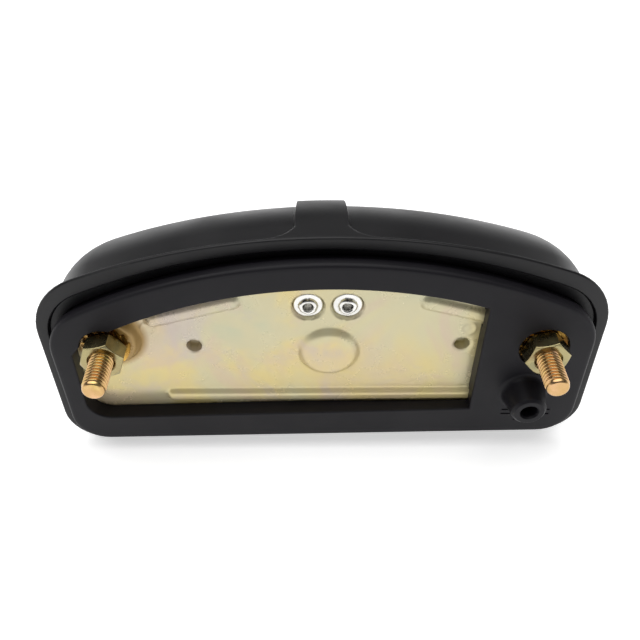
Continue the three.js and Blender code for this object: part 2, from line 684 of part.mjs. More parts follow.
function lensPillar(side) {
  const back = PLATE_FACE_Y - SHEET - GAP;
  const front = LENS_BOSS.back + GAP;
  const { flange, flangeThickness, body, insert, insertDepth } = PILLAR;
  return turned([[0, back], [flange, back], [flange, back - flangeThickness], [body, back - flangeThickness],
    [body, front], [insert, front], [insert, front + insertDepth], [0, front + insertDepth]],
  side * LENS_SCREW.x, LENS_SCREW.z);
}

function screwSeal(side) {
  const { x, z, head, shank } = LENS_SCREW;
  const back = LENS_FACE_Y - HOLE_PLAY;
  const bore = shank + HOLE_PLAY;
  const front = back - SCREW_SEAL_THICKNESS;
  return turned([[bore, back], [head, back], [head, front], [bore, front], [bore, back]], side * x, z);
}

function lensScrew(side) {
  const { x, z, head, shank, length } = LENS_SCREW;
  const seat = LENS_FACE_Y - SCREW_SEAL_THICKNESS - GAP;
  const top = seat - SCREW_HEAD_HEIGHT;
  const { halfWidth, depth } = SCREW_SLOT;
  const end = seat + length;
  const body = turned([[0, end], [shank - 0.5, end], [shank, end - 0.8], [shank, seat],
    [head - 0.1, seat], [head - 0.3, top + 0.6], [2.4, top], [0, top]], side * x, z);
  const slot = block(side * x - halfWidth, side * x + halfWidth, top - 1, top + depth, z - 5, z + 5);
  return cut(body, slot);
}

// ---------------------------------------------------------------- materials

const finish = (color, roughness, metalness) => ({ color, roughness, metalness });
const FINISHES = {
  rubber: finish(0x27272a, 0.6, 0),
  blackPlastic: finish(0x1f1f22, 0.38, 0),
  zinc: finish(0xd9c48a, 0.32, 0.9),
  zincDark: finish(0xb9a45a, 0.35, 0.9),
  aluminium: finish(0xd5d7da, 0.3, 0.9),
  brass: finish(0xc9a050, 0.35, 0.9),
  steel: finish(0x9a9a9c, 0.35, 0.9),
  phenolic: finish(0x5a3318, 0.6, 0),
  redLens: finish(0xa8101a, 0.12, 0),
  clear: finish(0xe4ecec, 0.1, 0),
  glass: finish(0xe8eef0, 0.05, 0),
  tungsten: finish(0x55555a, 0.5, 0.8),
};

const lamp = new THREE.Group();

function add(name, solid, finishName) {
  const material = new THREE.MeshStandardMaterial(FINISHES[finishName]);
  const mesh = new THREE.Mesh(toGeometry(solid), material);
  mesh.name = name;
  lamp.add(mesh);
}

// ---------------------------------------------------------------- assembly

add('mounting_gasket', gasket(), 'rubber');
add('housing', housing(), 'blackPlastic');
add('base_plate', basePlate(), 'zinc');
add('lens', lens(), 'redLens');
add('lens_seal', lensSeal(), 'rubber');
add('number_plate_window', numberPlateWindow(), 'clear');
add('bulb_bracket', bulbBracket(), 'zinc');

// Seen from behind the lamp, as a rider fits it, +X is on the left.
const ENDS = [
  { name: 'left', side: 1, nutTurn: NUT.leftTurn },
  { name: 'right', side: -1, nutTurn: NUT.rightTurn },
];
for (const { name, side, nutTurn } of ENDS) {
  add(`${name}_stud`, mountingStud(side * STUD_X), 'zinc');
  add(`${name}_star_washer`, starWasher(side * STUD_X), 'zincDark');
  add(`${name}_nut`, hexNut(side * STUD_X, nutTurn), 'zinc');
  add(`${name}_bracket_rivet`, bracketRivet(RIVET.x[side > 0 ? 1 : 0]), 'aluminium');
  add(`${name}_lens_pillar`, lensPillar(side), 'steel');
  add(`${name}_lens_screw`, lensScrew(side), 'steel');
  add(`${name}_screw_seal`, screwSeal(side), 'rubber');
}

const BULBS = [
  { name: 'tail', side: 1, bulb: TAIL_BULB },
  { name: 'brake', side: -1, bulb: BRAKE_BULB },
];
for (const { name, side, bulb } of BULBS) {
  add(`${name}_bulb_socket`, bulbSocket(side), 'brass');
  add(`${name}_contact_spring`, contactSpring(side), 'steel');
  add(`${name}_contact_plunger`, contactPlunger(side), 'phenolic');
  add(`${name}_bulb_cap`, bulbCap(side), 'brass');
  add(`${name}_bulb_glass`, bulbGlass(bulb, side), 'glass');
  add(`${name}_bulb_filament`, bulbFilament(bulb, side), 'tungsten');
}

export default lamp;
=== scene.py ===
"""Motorcycle tail light, seen from its mounting side. Lengths are in millimetres until a
mesh is made, and everything is in the CAD frame: Y = 0 is the mounting face, +Y runs out
along the studs, -Y towards the lens, +Z up, and +X is on the left seen from behind the lamp."""

import math
import random

import bmesh
import bpy
import numpy as np
from mathutils import Matrix, Vector


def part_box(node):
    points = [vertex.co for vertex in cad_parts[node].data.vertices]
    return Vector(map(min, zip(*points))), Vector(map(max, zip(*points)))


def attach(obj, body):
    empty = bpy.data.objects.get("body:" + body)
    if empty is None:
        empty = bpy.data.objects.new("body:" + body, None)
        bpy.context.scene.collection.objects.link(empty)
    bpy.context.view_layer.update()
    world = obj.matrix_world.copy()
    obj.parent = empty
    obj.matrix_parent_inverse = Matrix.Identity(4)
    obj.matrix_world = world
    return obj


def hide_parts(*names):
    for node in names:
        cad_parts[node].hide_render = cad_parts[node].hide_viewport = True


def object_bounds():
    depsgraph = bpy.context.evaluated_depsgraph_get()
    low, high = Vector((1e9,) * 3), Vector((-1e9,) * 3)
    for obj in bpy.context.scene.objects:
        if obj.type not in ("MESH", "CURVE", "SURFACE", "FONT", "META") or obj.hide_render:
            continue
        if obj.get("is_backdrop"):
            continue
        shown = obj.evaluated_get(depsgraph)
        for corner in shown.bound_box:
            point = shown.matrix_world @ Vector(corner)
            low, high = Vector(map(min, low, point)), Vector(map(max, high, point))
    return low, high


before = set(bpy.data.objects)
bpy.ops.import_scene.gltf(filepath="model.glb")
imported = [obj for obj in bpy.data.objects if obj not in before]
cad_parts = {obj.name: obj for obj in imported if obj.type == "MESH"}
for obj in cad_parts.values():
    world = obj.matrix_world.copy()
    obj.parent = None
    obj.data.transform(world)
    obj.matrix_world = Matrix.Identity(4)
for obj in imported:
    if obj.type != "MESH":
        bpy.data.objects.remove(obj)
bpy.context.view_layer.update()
MM = 0.001
TAU = math.tau
random.seed(7)

# ------------------------------------------------------------------ camera

CAMERA_AT = (4.905, 133.36, 127.93)
CAMERA_PITCH = 0.72424
CAMERA_YAW = math.radians(-1.4396)
CAMERA_ROLL = math.radians(0.7519)
FOCAL_PIXELS = 738.64
PICTURE_WIDTH = 640
SENSOR = 36


def make_camera():
    turn = Matrix.Rotation(CAMERA_YAW, 3, "Z")
    forward = Vector((0, -math.cos(CAMERA_PITCH), -math.sin(CAMERA_PITCH)))
    right = Vector((-1, 0, 0))
    up = right.cross(forward)
    right, up, forward = turn @ right, turn @ up, turn @ forward
    roll_c, roll_s = math.cos(CAMERA_ROLL), math.sin(CAMERA_ROLL)
    right, up = right * roll_c + up * roll_s, up * roll_c - right * roll_s
    data = bpy.data.cameras.new("camera")
    data.sensor_width = SENSOR
    data.lens = FOCAL_PIXELS * SENSOR / PICTURE_WIDTH
    data.clip_start = 0.01
    camera = bpy.data.objects.new("camera", data)
    bpy.context.scene.collection.objects.link(camera)
    basis = Matrix((right, up, -forward)).transposed().to_4x4()
    camera.matrix_world = Matrix.Translation(Vector(CAMERA_AT) * MM) @ basis
    bpy.context.scene.camera = camera


make_camera()

# ------------------------------------------------------------------ driving dimensions

RIM = dict(half=71.9, top=30.7, bottom=-37.9, crown=166, shoulder=18, foot=11)
RECESS = dict(half=69, top=27.4, bottom=-34.8, crown=150, shoulder=15, foot=9)
PAD = dict(half=68.3, top=26.3, bottom=-33, crown=136, shoulder=14, foot=9)
PAD_NECK = dict(half=66.9, top=24.9, bottom=-31.6, crown=135, shoulder=12.6, foot=8)
PLATE = dict(half=65.2, top=23.4, bottom=-28.5, crown=134, shoulder=11, foot=5)

RIM_FACE = -4.5
RIM_BACK = -6.1
RECESS_STEP = -5.6
RECESS_FLOOR = -7.0
FLOOR_BACK = -8.8
SHELL_INSET = 3.0
BEND_Y = -14.4
BEND_R = 28.0
SHELL_FRONT = -32.0
SHELL_WALL = 2.2
SEAT_WIDTH = 4.0
RIB_HALF = 6.5
RIB_FILLET = 7.0
RIB_RISE_FRONT = 1.6
PAD_PLAY = 0.5  # between the gasket's lip and its neighbours
BODY_TURN = math.radians(1)
BODY_SHIFT = 0.6

LENS_BACK = -33.6
LENS_WALL = 2.2
LENS_CROWN = 0.8
LENS_FACE = -37.8
SCREW_X, SCREW_Z = 42.0, -15.5
LENS_TUBE = 4.4

PLATE_FACE = -4.8
SHEET = 1.0
SKIRT_END = -10.8
STUD_X = 55.0
STUD_RADIUS, STUD_PITCH = 2.95, 1.0
NUT_CORNER, NUT_BACK, NUT_FRONT = 5.7, -0.7, 4.3
WASHER_TEETH, WASHER_MIDDLE, WASHER_HALF = 12, -1.4, 0.59
BOSS_FOOT = 8.4
BOSS_HEIGHT = 2.7
DISC_X, DISC_Z, DISC_HEIGHT = -1.0, -5.0, 1.6
BEADS = [(-44, -21.1, 40.7, -21.1), (23, 11.6, 43, 5.9), (-25.3, 11.2, -43, 6.1)]  # x, z of both ends
BEAD_WIDTH = 4.6
RIVETS = (("left", 4.4), ("right", -5.4))
RIVET_Z = 9.9
RIVET_HOLE = 1.7
CUPS = ((33.7, -3.3), (-35.4, -2.9))  # x, z
CABLE_HOLE_X = -52.9
NIPPLE_X, NIPPLE_Z, NIPPLE_HEIGHT = -52.6, -15.7, 7.5

# The gasket's window
WINDOW_LEFT, WINDOW_RIGHT, WINDOW_TOP = -39.2, 63.5, 19.1
WINDOW_CROWN, WINDOW_CROWN_X = 120, -1.5
WINDOW_FOOT, WINDOW_FALL, WINDOW_CORNER = -22.4, 2.7, 6

# The bulbs lie along one axis across the lamp
AXIS_Y, AXIS_Z = -24.5, 1.5
CAP_TIP = 9.2
ARM = 8.5

THROUGH = 10  # how far a cutter reaches through the plate and the gasket
SIDES = (("left", 1), ("right", -1))


# ------------------------------------------------------------------ mesh helpers


def solid(name, verts, faces):
    """A closed mesh from points in millimetres, turned face out."""
    mesh = bpy.data.meshes.new(name)
    mesh.from_pydata([tuple(float(c) * MM for c in v) for v in verts], [], [tuple(f) for f in faces])
    obj = bpy.data.objects.new(name, mesh)
    bpy.context.scene.collection.objects.link(obj)
    tidy_mesh(obj)
    return obj


def temp(verts, faces):
    return solid("temp", verts, faces)


def tidy_mesh(obj, merge=1e-7):
    bm = bmesh.new()
    bm.from_mesh(obj.data)
    bmesh.ops.remove_doubles(bm, verts=bm.verts, dist=merge)
    bmesh.ops.dissolve_degenerate(bm, edges=bm.edges, dist=merge)
    bmesh.ops.recalc_face_normals(bm, faces=bm.faces)
    bm.to_mesh(obj.data)
    bm.free()


def finish_piece(obj, name, body, stands_for, slot, sharp=35.0):
    """Names a piece, smooths it but for its sharp edges, and gives it its material and body."""
    obj.name = obj.data.name = name
    obj.data.shade_smooth()
    obj.data.set_sharp_from_angle(angle=math.radians(sharp))
    weighted = obj.modifiers.new("weighted", "WEIGHTED_NORMAL")
    weighted.keep_sharp = True
    obj.data.materials.clear()
    obj.data.materials.append(MATERIALS[slot])
    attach(obj, body)
    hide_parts(stands_for)


def rings_to_faces(rows, columns, wrap_rows, wrap_columns, offset=0):
    faces = []
    for i in range(rows if wrap_rows else rows - 1):
        for j in range(columns if wrap_columns else columns - 1):
            a, b = i % rows, (i + 1) % rows
            c, d = j % columns, (j + 1) % columns
            faces.append((offset + a * columns + c, offset + a * columns + d,
                          offset + b * columns + d, offset + b * columns + c))
    return faces


def loft(rings, wrap=False, caps=True):
    """Verts and faces through equal closed rings: a ring-shaped solid, or one with two caps."""
    count = len(rings[0])
    verts = [p for ring in rings for p in ring]
    faces = rings_to_faces(len(rings), count, wrap, True)
    if not wrap and caps:
        faces.append(tuple(range(count))[::-1])
        faces.append(tuple(range((len(rings) - 1) * count, len(rings) * count)))
    return verts, faces


def rounded(points, radii, steps=5):
    """A chain of 2-D points with its corners rounded by the radii given, 0 for none."""
    out = []
    n = len(points)
    for i, p in enumerate(points):
        r = radii[i]
        if not r or i in (0, n - 1):
            out.append(tuple(p))
            continue
        p = Vector(p)
        u, v = Vector(points[i - 1]) - p, Vector(points[i + 1]) - p
        half = u.angle(v) / 2
        reach = min(r / math.tan(half), u.length * 0.49, v.length * 0.49)
        r = reach * math.tan(half)
        u.normalize()
        v.normalize()
        middle = p + (u + v).normalized() * (r / math.sin(half))
        start, end = p + u * reach - middle, p + v * reach - middle
        for k in range(steps + 1):
            t = k / steps
            d = start * (1 - t) + end * t
            out.append(tuple(middle + d.normalized() * r))
    return out


def lathe(profile, at=(0, 0, 0), axis="+Y", sides=64, closed=False):
    """Verts and faces of a profile of (radius, along) turned about an axis through at."""
    verts, faces, rows = [], [], []
    for r, a in profile:
        if r < 1e-6:
            rows.append([len(verts)])
            verts.append((0.0, a, 0.0))
            continue
        start = len(verts)
        rows.append(list(range(start, start + sides)))
        for k in range(sides):
            t = TAU * k / sides
            verts.append((r * math.cos(t), a, r * math.sin(t)))
    pairs = list(zip(rows, rows[1:] + rows[:1])) if closed else list(zip(rows, rows[1:]))
    for low, high in pairs:
        for k in range(sides):
            a, b = low[k % len(low)], low[(k + 1) % len(low)]
            c, d = high[(k + 1) % len(high)], high[k % len(high)]
            face = [a] + ([b] if b != a else []) + [c] + ([d] if d != c else [])
            if len(face) > 2:
                faces.append(tuple(face))
    return turned_to(verts, at, axis), faces


def turned_to(verts, at, axis):
    """Verts drawn along +Y from the origin, turned to another axis and moved to at."""
    x0, y0, z0 = at
    if axis == "+Y":
        return [(x0 + x, y0 + y, z0 + z) for x, y, z in verts]
    if axis == "+X":
        return [(x0 + y, y0 - x, z0 + z) for x, y, z in verts]
    return [(x0 - y, y0 + x, z0 + z) for x, y, z in verts]  # "-X"


def apply_modifiers(obj):
    bpy.context.view_layer.update()
    graph = bpy.context.evaluated_depsgraph_get()
    mesh = bpy.data.meshes.new_from_object(obj.evaluated_get(graph))
    obj.modifiers.clear()
    old = obj.data
    obj.data = mesh
    bpy.data.meshes.remove(old)


def carve(obj, cutters, how="DIFFERENCE"):
    """Applies booleans with the temporary objects, which are then removed."""
    for cutter in cutters:
        modifier = obj.modifiers.new("cut", "BOOLEAN")
        modifier.operation = how
        modifier.solver = "MANIFOLD"
        modifier.object = cutter
    apply_modifiers(obj)
    for cutter in cutters:
        data = cutter.data
        bpy.data.objects.remove(cutter)
        bpy.data.meshes.remove(data)
    tidy_mesh(obj, 2e-7)


def rod(radius, y0, y1, x, z, sides=48):
    """A temporary cylinder along Y."""
    return temp(*lathe([(0, y0), (radius, y0), (radius, y1), (0, y1)], (x, 0, z), sides=sides))


def box_mesh(x0, x1, y0, y1, z0, z1):
    verts = [(x, y, z) for x in (x0, x1) for y in (y0, y1) for z in (z0, z1)]
    faces = [(0, 1, 3, 2), (4, 6, 7, 5), (0, 4, 5, 1), (2, 3, 7, 6), (0, 2, 6, 4), (1, 5, 7, 3)]
    return verts, faces


def smooth(t):
    """A soft step from 0 to 1, for one number; ease is the same for arrays."""
    t = min(1.0, max(0.0, t))
    return t * t * (3 - 2 * t)


# ------------------------------------------------------------------ outlines

CROWN_FINE = [i * 0.42 for i in range(-38, 39)]  # x of the closely spaced points over the rib
CROWN_COARSE = 13
SIDE_STEPS, FOOT_STEPS, BOTTOM_STEPS, SHOULDER_STEPS = 12, 9, 36, 10


def outline(half, top, bottom, crown, shoulder, foot, grow=0.0):
    """Points of an outline, counter-clockwise seen from +Y with X to the left: always the
    same count in the same order, so that any two outlines can be lofted."""
    half, top, bottom = half + grow, top + grow, bottom - grow
    crown, shoulder, foot = crown + grow, shoulder + grow, foot + grow
    crown_z = top - crown
    shoulder_x = half - shoulder
    shoulder_z = crown_z + math.sqrt((crown - shoulder) ** 2 - shoulder_x ** 2)
    turn = math.atan2(shoulder_z - crown_z, shoulder_x)
    foot_x, foot_z = half - foot, bottom + foot
    right = []
    for i in range(BOTTOM_STEPS + 1):
        right.append((foot_x * i / BOTTOM_STEPS, bottom))
    for i in range(1, FOOT_STEPS + 1):
        a = -math.pi / 2 * (1 - i / FOOT_STEPS)
        right.append((foot_x + foot * math.cos(a), foot_z + foot * math.sin(a)))
    for i in range(1, SIDE_STEPS + 1):
        right.append((half, foot_z + (shoulder_z - foot_z) * i / SIDE_STEPS))
    for i in range(1, SHOULDER_STEPS + 1):
        a = turn * i / SHOULDER_STEPS
        right.append((shoulder_x + shoulder * math.cos(a), shoulder_z + shoulder * math.sin(a)))
    end_x = crown * math.cos(turn)
    fine_x = CROWN_FINE[-1] * half / RIM["half"]
    for i in range(1, CROWN_COARSE + 1):
        x = end_x + (fine_x - end_x) * i / CROWN_COARSE
        right.append((x, crown_z + math.sqrt(crown ** 2 - x ** 2)))
    for x in CROWN_FINE[-2:len(CROWN_FINE) // 2:-1]:
        x *= half / RIM["half"]
        right.append((x, crown_z + math.sqrt(crown ** 2 - x ** 2)))
    right.append((0.0, top))
    left = [(-x, z) for x, z in right[-2:0:-1]]
    return right + left


RIM_RING = outline(**RIM)
HALF_HEIGHT = (RIM["top"] - RIM["bottom"]) / 2
MIDDLE = (RIM["top"] + RIM["bottom"]) / 2


def seated(x, z):
    """A point of the lamp's body, turned and moved into its place on the studs."""
    c, s = math.cos(BODY_TURN), math.sin(BODY_TURN)
    return x * c + z * s + BODY_SHIFT, z * c - x * s


def seated_point(x, y, z):
    x, z = seated(x, z)
    return x, y, z


def ring(points, y):
    return [seated_point(x, y, z) for x, z in points]


def scaled_ring(y, inset):
    """The rim's outline drawn in by inset, which may be a number or one per point."""
    insets = inset if hasattr(inset, "__len__") else [inset] * len(RIM_RING)
    return [seated_point(x * (1 - k / RIM["half"]), y, MIDDLE + (z - MIDDLE) * (1 - k / HALF_HEIGHT))
            for (x, z), k in zip(RIM_RING, insets)]


def shell_inset(y):
    past = max(0.0, BEND_Y - y)
    return SHELL_INSET + BEND_R - math.sqrt(BEND_R ** 2 - past ** 2)


# ------------------------------------------------------------------ materials


def fill_ramp(ramp, stops):
    """Gives a colour ramp its stops, each a place with a grey level or a colour."""
    while len(ramp.elements) < len(stops):
        ramp.elements.new(0.5)
    for element, (at, color) in zip(ramp.elements, stops):
        element.position = at
        color = (color,) * 3 if not hasattr(color, "__len__") else color
        element.color = (*color[:3], 1)


class Nodes:
    """A little builder for procedural materials."""

    def __init__(self, name):
        self.material = bpy.data.materials.new(name)
        self.material.use_nodes = True
        self.tree = self.material.node_tree
        self.shader = self.tree.nodes["Principled BSDF"]
        self.place = self.tree.nodes.new("ShaderNodeTexCoord").outputs["Object"]

    def set(self, **values):
        for key, value in values.items():
            self.shader.inputs[key.replace("_", " ")].default_value = value
        return self

    def link(self, source, target):
        self.tree.links.new(source, target)

    def new(self, kind, **inputs):
        node = self.tree.nodes.new("ShaderNode" + kind)
        for key, value in inputs.items():
            node.inputs[key.replace("_", " ")].default_value = value
        return node

    def stretched(self, scale):
        node = self.new("Mapping", Scale=scale)
        self.link(self.place, node.inputs["Vector"])
        return node.outputs["Vector"]

    def noise(self, scale, detail=3.0, rough=0.5, distortion=0.0, vector=None):
        node = self.new("TexNoise", Scale=scale, Detail=detail, Roughness=rough, Distortion=distortion)
        self.link(vector or self.place, node.inputs["Vector"])
        return node.outputs["Fac"]

    def spots(self, scale):
        node = self.new("TexVoronoi", Scale=scale)
        self.link(self.place, node.inputs["Vector"])
        return node.outputs["Distance"]

    def ramp(self, value, stops, smooth_step=False):
        node = self.new("ValToRGB")
        if smooth_step:
            node.color_ramp.interpolation = "EASE"
        fill_ramp(node.color_ramp, stops)
        self.link(value, node.inputs["Fac"])
        return node.outputs["Color"]

    def mix(self, factor, a, b, kind="MIX"):
        node = self.new("Mix")
        node.data_type = "RGBA"
        node.blend_type = kind
        for value, at in ((factor, 0), (a, 6), (b, 7)):
            socket = node.inputs[at]
            if hasattr(value, "links"):
                self.link(value, socket)
            elif at == 0:
                socket.default_value = value
            else:
                socket.default_value = (*value[:3], 1)
        return node.outputs[2]

    def between(self, value, low, high, from_low=0.3, from_high=0.7):
        node = self.new("MapRange", From_Min=from_low, From_Max=from_high, To_Min=low, To_Max=high)
        self.link(value, node.inputs["Value"])
        return node.outputs["Result"]

    def near(self, points, inner, outer):
        """1 within inner mm of any of the points (x, z) on the plate's face, falling to 0 at outer mm."""
        total = None
        for x, z in points:
            away = self.new("VectorMath")
            away.operation = "DISTANCE"
            self.link(self.place, away.inputs[0])
            away.inputs[1].default_value = (x * MM, PLATE_FACE * MM, z * MM)
            mask = self.between(away.outputs["Value"], 1.0, 0.0, inner * MM, outer * MM)
            if total is None:
                total = mask
                continue
            larger = self.new("Math")
            larger.operation = "MAXIMUM"
            self.link(total, larger.inputs[0])
            self.link(mask, larger.inputs[1])
            total = larger.outputs[0]
        return total

    def color(self, source):
        self.link(source, self.shader.inputs["Base Color"])
        return self

    def roughness(self, source):
        self.link(source, self.shader.inputs["Roughness"])
        return self

    def bump(self, height, distance, strength=1.0):
        node = self.new("Bump", Strength=strength, Distance=distance)
        self.link(height, node.inputs["Height"])
        previous = self.shader.inputs["Normal"].links
        if previous:
            self.link(previous[0].from_socket, node.inputs["Normal"])
        self.link(node.outputs["Normal"], self.shader.inputs["Normal"])
        return self


def srgb(r, g, b):
    def one(c):
        c /= 255
        return c / 12.92 if c <= 0.04045 else ((c + 0.055) / 1.055) ** 2.4
    return one(r), one(g), one(b)


DUST = (0.5, 0.47, 0.4)


def dust(n, base, scale, reach):
    """Base colour with a few pale specks of dust."""
    speck = n.spots(scale)
    thin = n.noise(scale * 0.21, 1.0)
    inside = n.ramp(speck, [(0.0, 1.0), (reach, 1.0), (reach + 0.02, 0.0)])
    some = n.ramp(thin, [(0.0, 0.0), (0.66, 0.0), (0.68, 1.0)])
    return n.mix(n.mix(1.0, inside, some, "MULTIPLY"), base, DUST)


def black(name, specular, shades, cloud, specks, rough_scale, rough, grain, swell):
    """Black plastic or rubber: a faint cloud, dust, fine grain and a slow swell of the surface."""
    n = Nodes(name)
    n.set(IOR=1.5, Specular_IOR_Level=specular)
    base = n.ramp(n.noise(cloud, 4), [(0.3, shades[0]), (0.7, shades[1])])
    n.color(dust(n, base, *specks))
    n.roughness(n.between(n.noise(rough_scale, 4), *rough))
    for scale, detail, distance, strength in (grain, swell):
        n.bump(n.noise(scale, detail), distance, strength)
    return n.material


def zinc(name, shades, rough, cloud):
    """Passivated zinc plate: clouds of the shades given over fine rolling grain."""
    n = Nodes(name)
    n.set(Metallic=1.0)
    field = n.noise(cloud, 5, 0.55, 0.9)
    stops = [(0.3 + 0.4 * i / (len(shades) - 1), shade) for i, shade in enumerate(shades)]
    base = n.ramp(field, stops, True)
    blush = n.noise(cloud * 0.55, 3, 0.5, 1.6)
    base = n.mix(n.ramp(blush, [(0.5, 0.0), (0.72, 0.75)]), base, shades[-1])
    fleck = n.ramp(n.noise(cloud * 11, 5, 0.7), [(0.0, 0.0), (0.69, 0.0), (0.76, 0.7)])
    base = n.mix(fleck, base, tuple(c * 0.35 for c in shades[0]))
    n.color(base)
    n.roughness(n.between(n.noise(cloud * 1.7, 5, 0.6), *rough))
    n.bump(n.noise(1.0, 3, 0.5, 0.0, n.stretched((900, 900, 900))), 0.00001, 0.22)
    n.bump(n.noise(cloud * 5, 3), 0.00005, 0.12)
    return n.material


def plate_zinc():
    """The base plate's plating: creamy straw with soft yellow, pink, violet and green clouds
    with dark flecks, and a deeper gold round the studs that is painted dark reflection and shade."""
    n = Nodes("base_zinc")
    n.set(Metallic=0.3, Specular_IOR_Level=0.5)
    straw = srgb(204, 196, 160)
    yellow = srgb(218, 200, 138)
    pink = srgb(206, 184, 164)
    violet = srgb(190, 180, 180)
    green = srgb(190, 192, 163)
    drift = n.noise(24, 4, 0.55, 0.5)
    base = n.ramp(drift, [(0.3, green), (0.45, straw), (0.6, yellow), (0.72, straw)], True)
    for scale, detail, rough, swirl, stops, shade in (
            (34, 4, 0.6, 0.8, [(0.48, 0.0), (0.62, 0.6), (0.8, 0.3)], pink),
            (41, 5, 0.6, 0.6, [(0.52, 0.0), (0.68, 0.55)], violet),
            (19, 3, 0.5, 0.4, [(0.52, 0.0), (0.7, 0.6)], yellow)):
        base = n.mix(n.ramp(n.noise(scale, detail, rough, swirl), stops, True), base, shade)
    fleck = n.ramp(n.noise(420, 4, 0.7), [(0.0, 0.0), (0.7, 0.0), (0.75, 0.75)])
    patch = n.ramp(n.noise(48, 2), [(0.0, 0.0), (0.52, 0.0), (0.62, 1.0)])
    base = n.mix(n.mix(1.0, fleck, patch, "MULTIPLY"), base, srgb(120, 108, 82))
    # painted dark reflection and shade: a deeper gold over each stud's boss, fading out between 8.6 and
    # 10.4 mm from the stud
    base = n.mix(n.near([(-STUD_X, 0), (STUD_X, 0)], 8.6, 10.4), base, srgb(158, 128, 74))
    n.color(base)
    n.roughness(n.between(n.noise(60, 5, 0.6), 0.2, 0.34))
    n.bump(n.noise(1.0, 3, 0.5, 0.0, n.stretched((500, 900, 900))), 0.000012, 0.2)
    n.bump(n.noise(110, 3), 0.00008, 0.14)
    n.bump(n.noise(22, 2), 0.0005, 0.07)
    return n.material


def metal(name, color, rough):
    """Bare or plated metal, a little uneven in colour and in polish."""
    n = Nodes(name)
    n.set(Metallic=1.0)
    low = tuple(c * 0.86 for c in color)
    high = tuple(min(1.0, c * 1.14) for c in color)
    n.color(n.ramp(n.noise(120.0, 4, 0.6), [(0.3, low), (0.7, high)]))
    n.roughness(n.between(n.noise(228.0, 4), rough * 0.75, rough * 1.3))
    n.bump(n.noise(1.0, 3, 0.5, 0.0, n.stretched((700, 700, 700))), 0.00001, 0.25)
    return n.material


def soft_rubber():
    n = Nodes("seal_rubber")
    n.set(Specular_IOR_Level=0.35)
    n.color(n.ramp(n.noise(90, 4), [(0.3, (0.011, 0.011, 0.011)), (0.7, (0.019, 0.019, 0.019))]))
    n.roughness(n.between(n.noise(140, 3), 0.6, 0.78))
    n.bump(n.noise(1900, 2), 0.00002, 0.4)
    return n.material


def clear_plastic(name, color, rough, ior=1.49):
    """Moulded clear plastic or glass, faintly uneven, with fine handling marks."""
    n = Nodes(name)
    n.set(IOR=ior, Transmission_Weight=1.0)
    deep = tuple(c * 0.86 for c in color)
    n.color(n.ramp(n.noise(55, 3), [(0.35, deep), (0.65, color)]))
    n.roughness(n.between(n.noise(240, 5, 0.65), rough * 0.6, rough * 1.6))
    n.bump(n.noise(120, 2), 0.00004, 0.1)
    return n.material


def phenolic():
    n = Nodes("contact_phenolic")
    fibre = n.noise(1.0, 5, 0.6, 0.5, n.stretched((220, 900, 900)))
    n.color(n.ramp(fibre, [(0.3, (0.17, 0.062, 0.022)), (0.7, (0.3, 0.125, 0.05))]))
    n.roughness(n.between(n.noise(200, 3), 0.45, 0.65))
    n.bump(fibre, 0.00003, 0.3)
    return n.material


MATERIALS = {
    "black_plastic": black(
        "black_plastic", 0.3, [(0.0026, 0.0024, 0.0032), (0.0042, 0.0038, 0.005)], 28,
        (190.0, 0.035), 60, (0.33, 0.47), (2600, 2, 0.00001, 0.35), (70, 2, 0.00012, 0.12)),
    "gasket_rubber": black(
        "gasket_rubber", 0.18, [(0.005, 0.0045, 0.0065), (0.0084, 0.0077, 0.0102)], 40,
        (210.0, 0.05), 45, (0.4, 0.56), (1500, 3, 0.00002, 0.4), (90, 2, 0.00015, 0.12)),
    "base_zinc": plate_zinc(),
    "stud_zinc": zinc("stud_zinc", [srgb(214, 196, 118), srgb(184, 150, 96), srgb(208, 168, 128)],
                      (0.16, 0.28), 110),
    "nut_zinc": zinc("nut_zinc", [srgb(126, 124, 96), srgb(158, 148, 108), srgb(150, 134, 98)],
                     (0.18, 0.34), 120),
    "washer_zinc": zinc("washer_zinc", [srgb(142, 104, 50), srgb(206, 164, 84), srgb(104, 70, 32)],
                        (0.2, 0.32), 150),
    "rivet_aluminium": metal("rivet_aluminium", srgb(222, 221, 217), 0.24),
    "bracket_zinc": zinc("bracket_zinc", [srgb(205, 203, 196), srgb(216, 210, 186)], (0.28, 0.44), 60),
    "pillar_steel": metal("pillar_steel", srgb(192, 193, 196), 0.3),
    "screw_steel": metal("screw_steel", srgb(198, 198, 200), 0.26),
    "seal_rubber": soft_rubber(),
    "red_lens": clear_plastic("red_lens", (0.78, 0.012, 0.014), 0.05),
    "clear_window": clear_plastic("clear_window", (0.93, 0.95, 0.95), 0.12),
    "socket_metal": metal("socket_metal", srgb(206, 202, 186), 0.32),
    "contact_phenolic": phenolic(),
    "spring_steel": metal("spring_steel", srgb(176, 178, 184), 0.24),
    "cap_brass": metal("cap_brass", srgb(212, 180, 112), 0.28),
    "bulb_glass": clear_plastic("bulb_glass", (0.97, 0.98, 0.99), 0.02, 1.5),
    "filament_tungsten": metal("filament_tungsten", srgb(110, 110, 116), 0.4),
}


def add(name, shape, body, stands_for, slot, sharp=35.0):
    finish_piece(solid(name, *shape), name, body, stands_for, slot, sharp)


# ------------------------------------------------------------------ housing


def rib_weight(x, z, y):
    """1 on the rib and the rim, 0 on the shell between them, with a soft step: the rib's
    sides flare into the rim."""
    if z < MIDDLE:
        inside = y - RIM_BACK
    else:
        across = abs(x)
        fillet_x, fillet_y = RIB_HALF + RIB_FILLET, RIM_BACK - RIB_FILLET
        if y < fillet_y:
            inside = RIB_HALF - across
        elif across < fillet_x:
            inside = math.hypot(across - fillet_x, y - fillet_y) - RIB_FILLET
        else:
            inside = y - RIM_BACK
        if across < RIB_HALF:
            inside = max(inside, 1.0)
    return smooth(inside / 1.5 + 0.5)


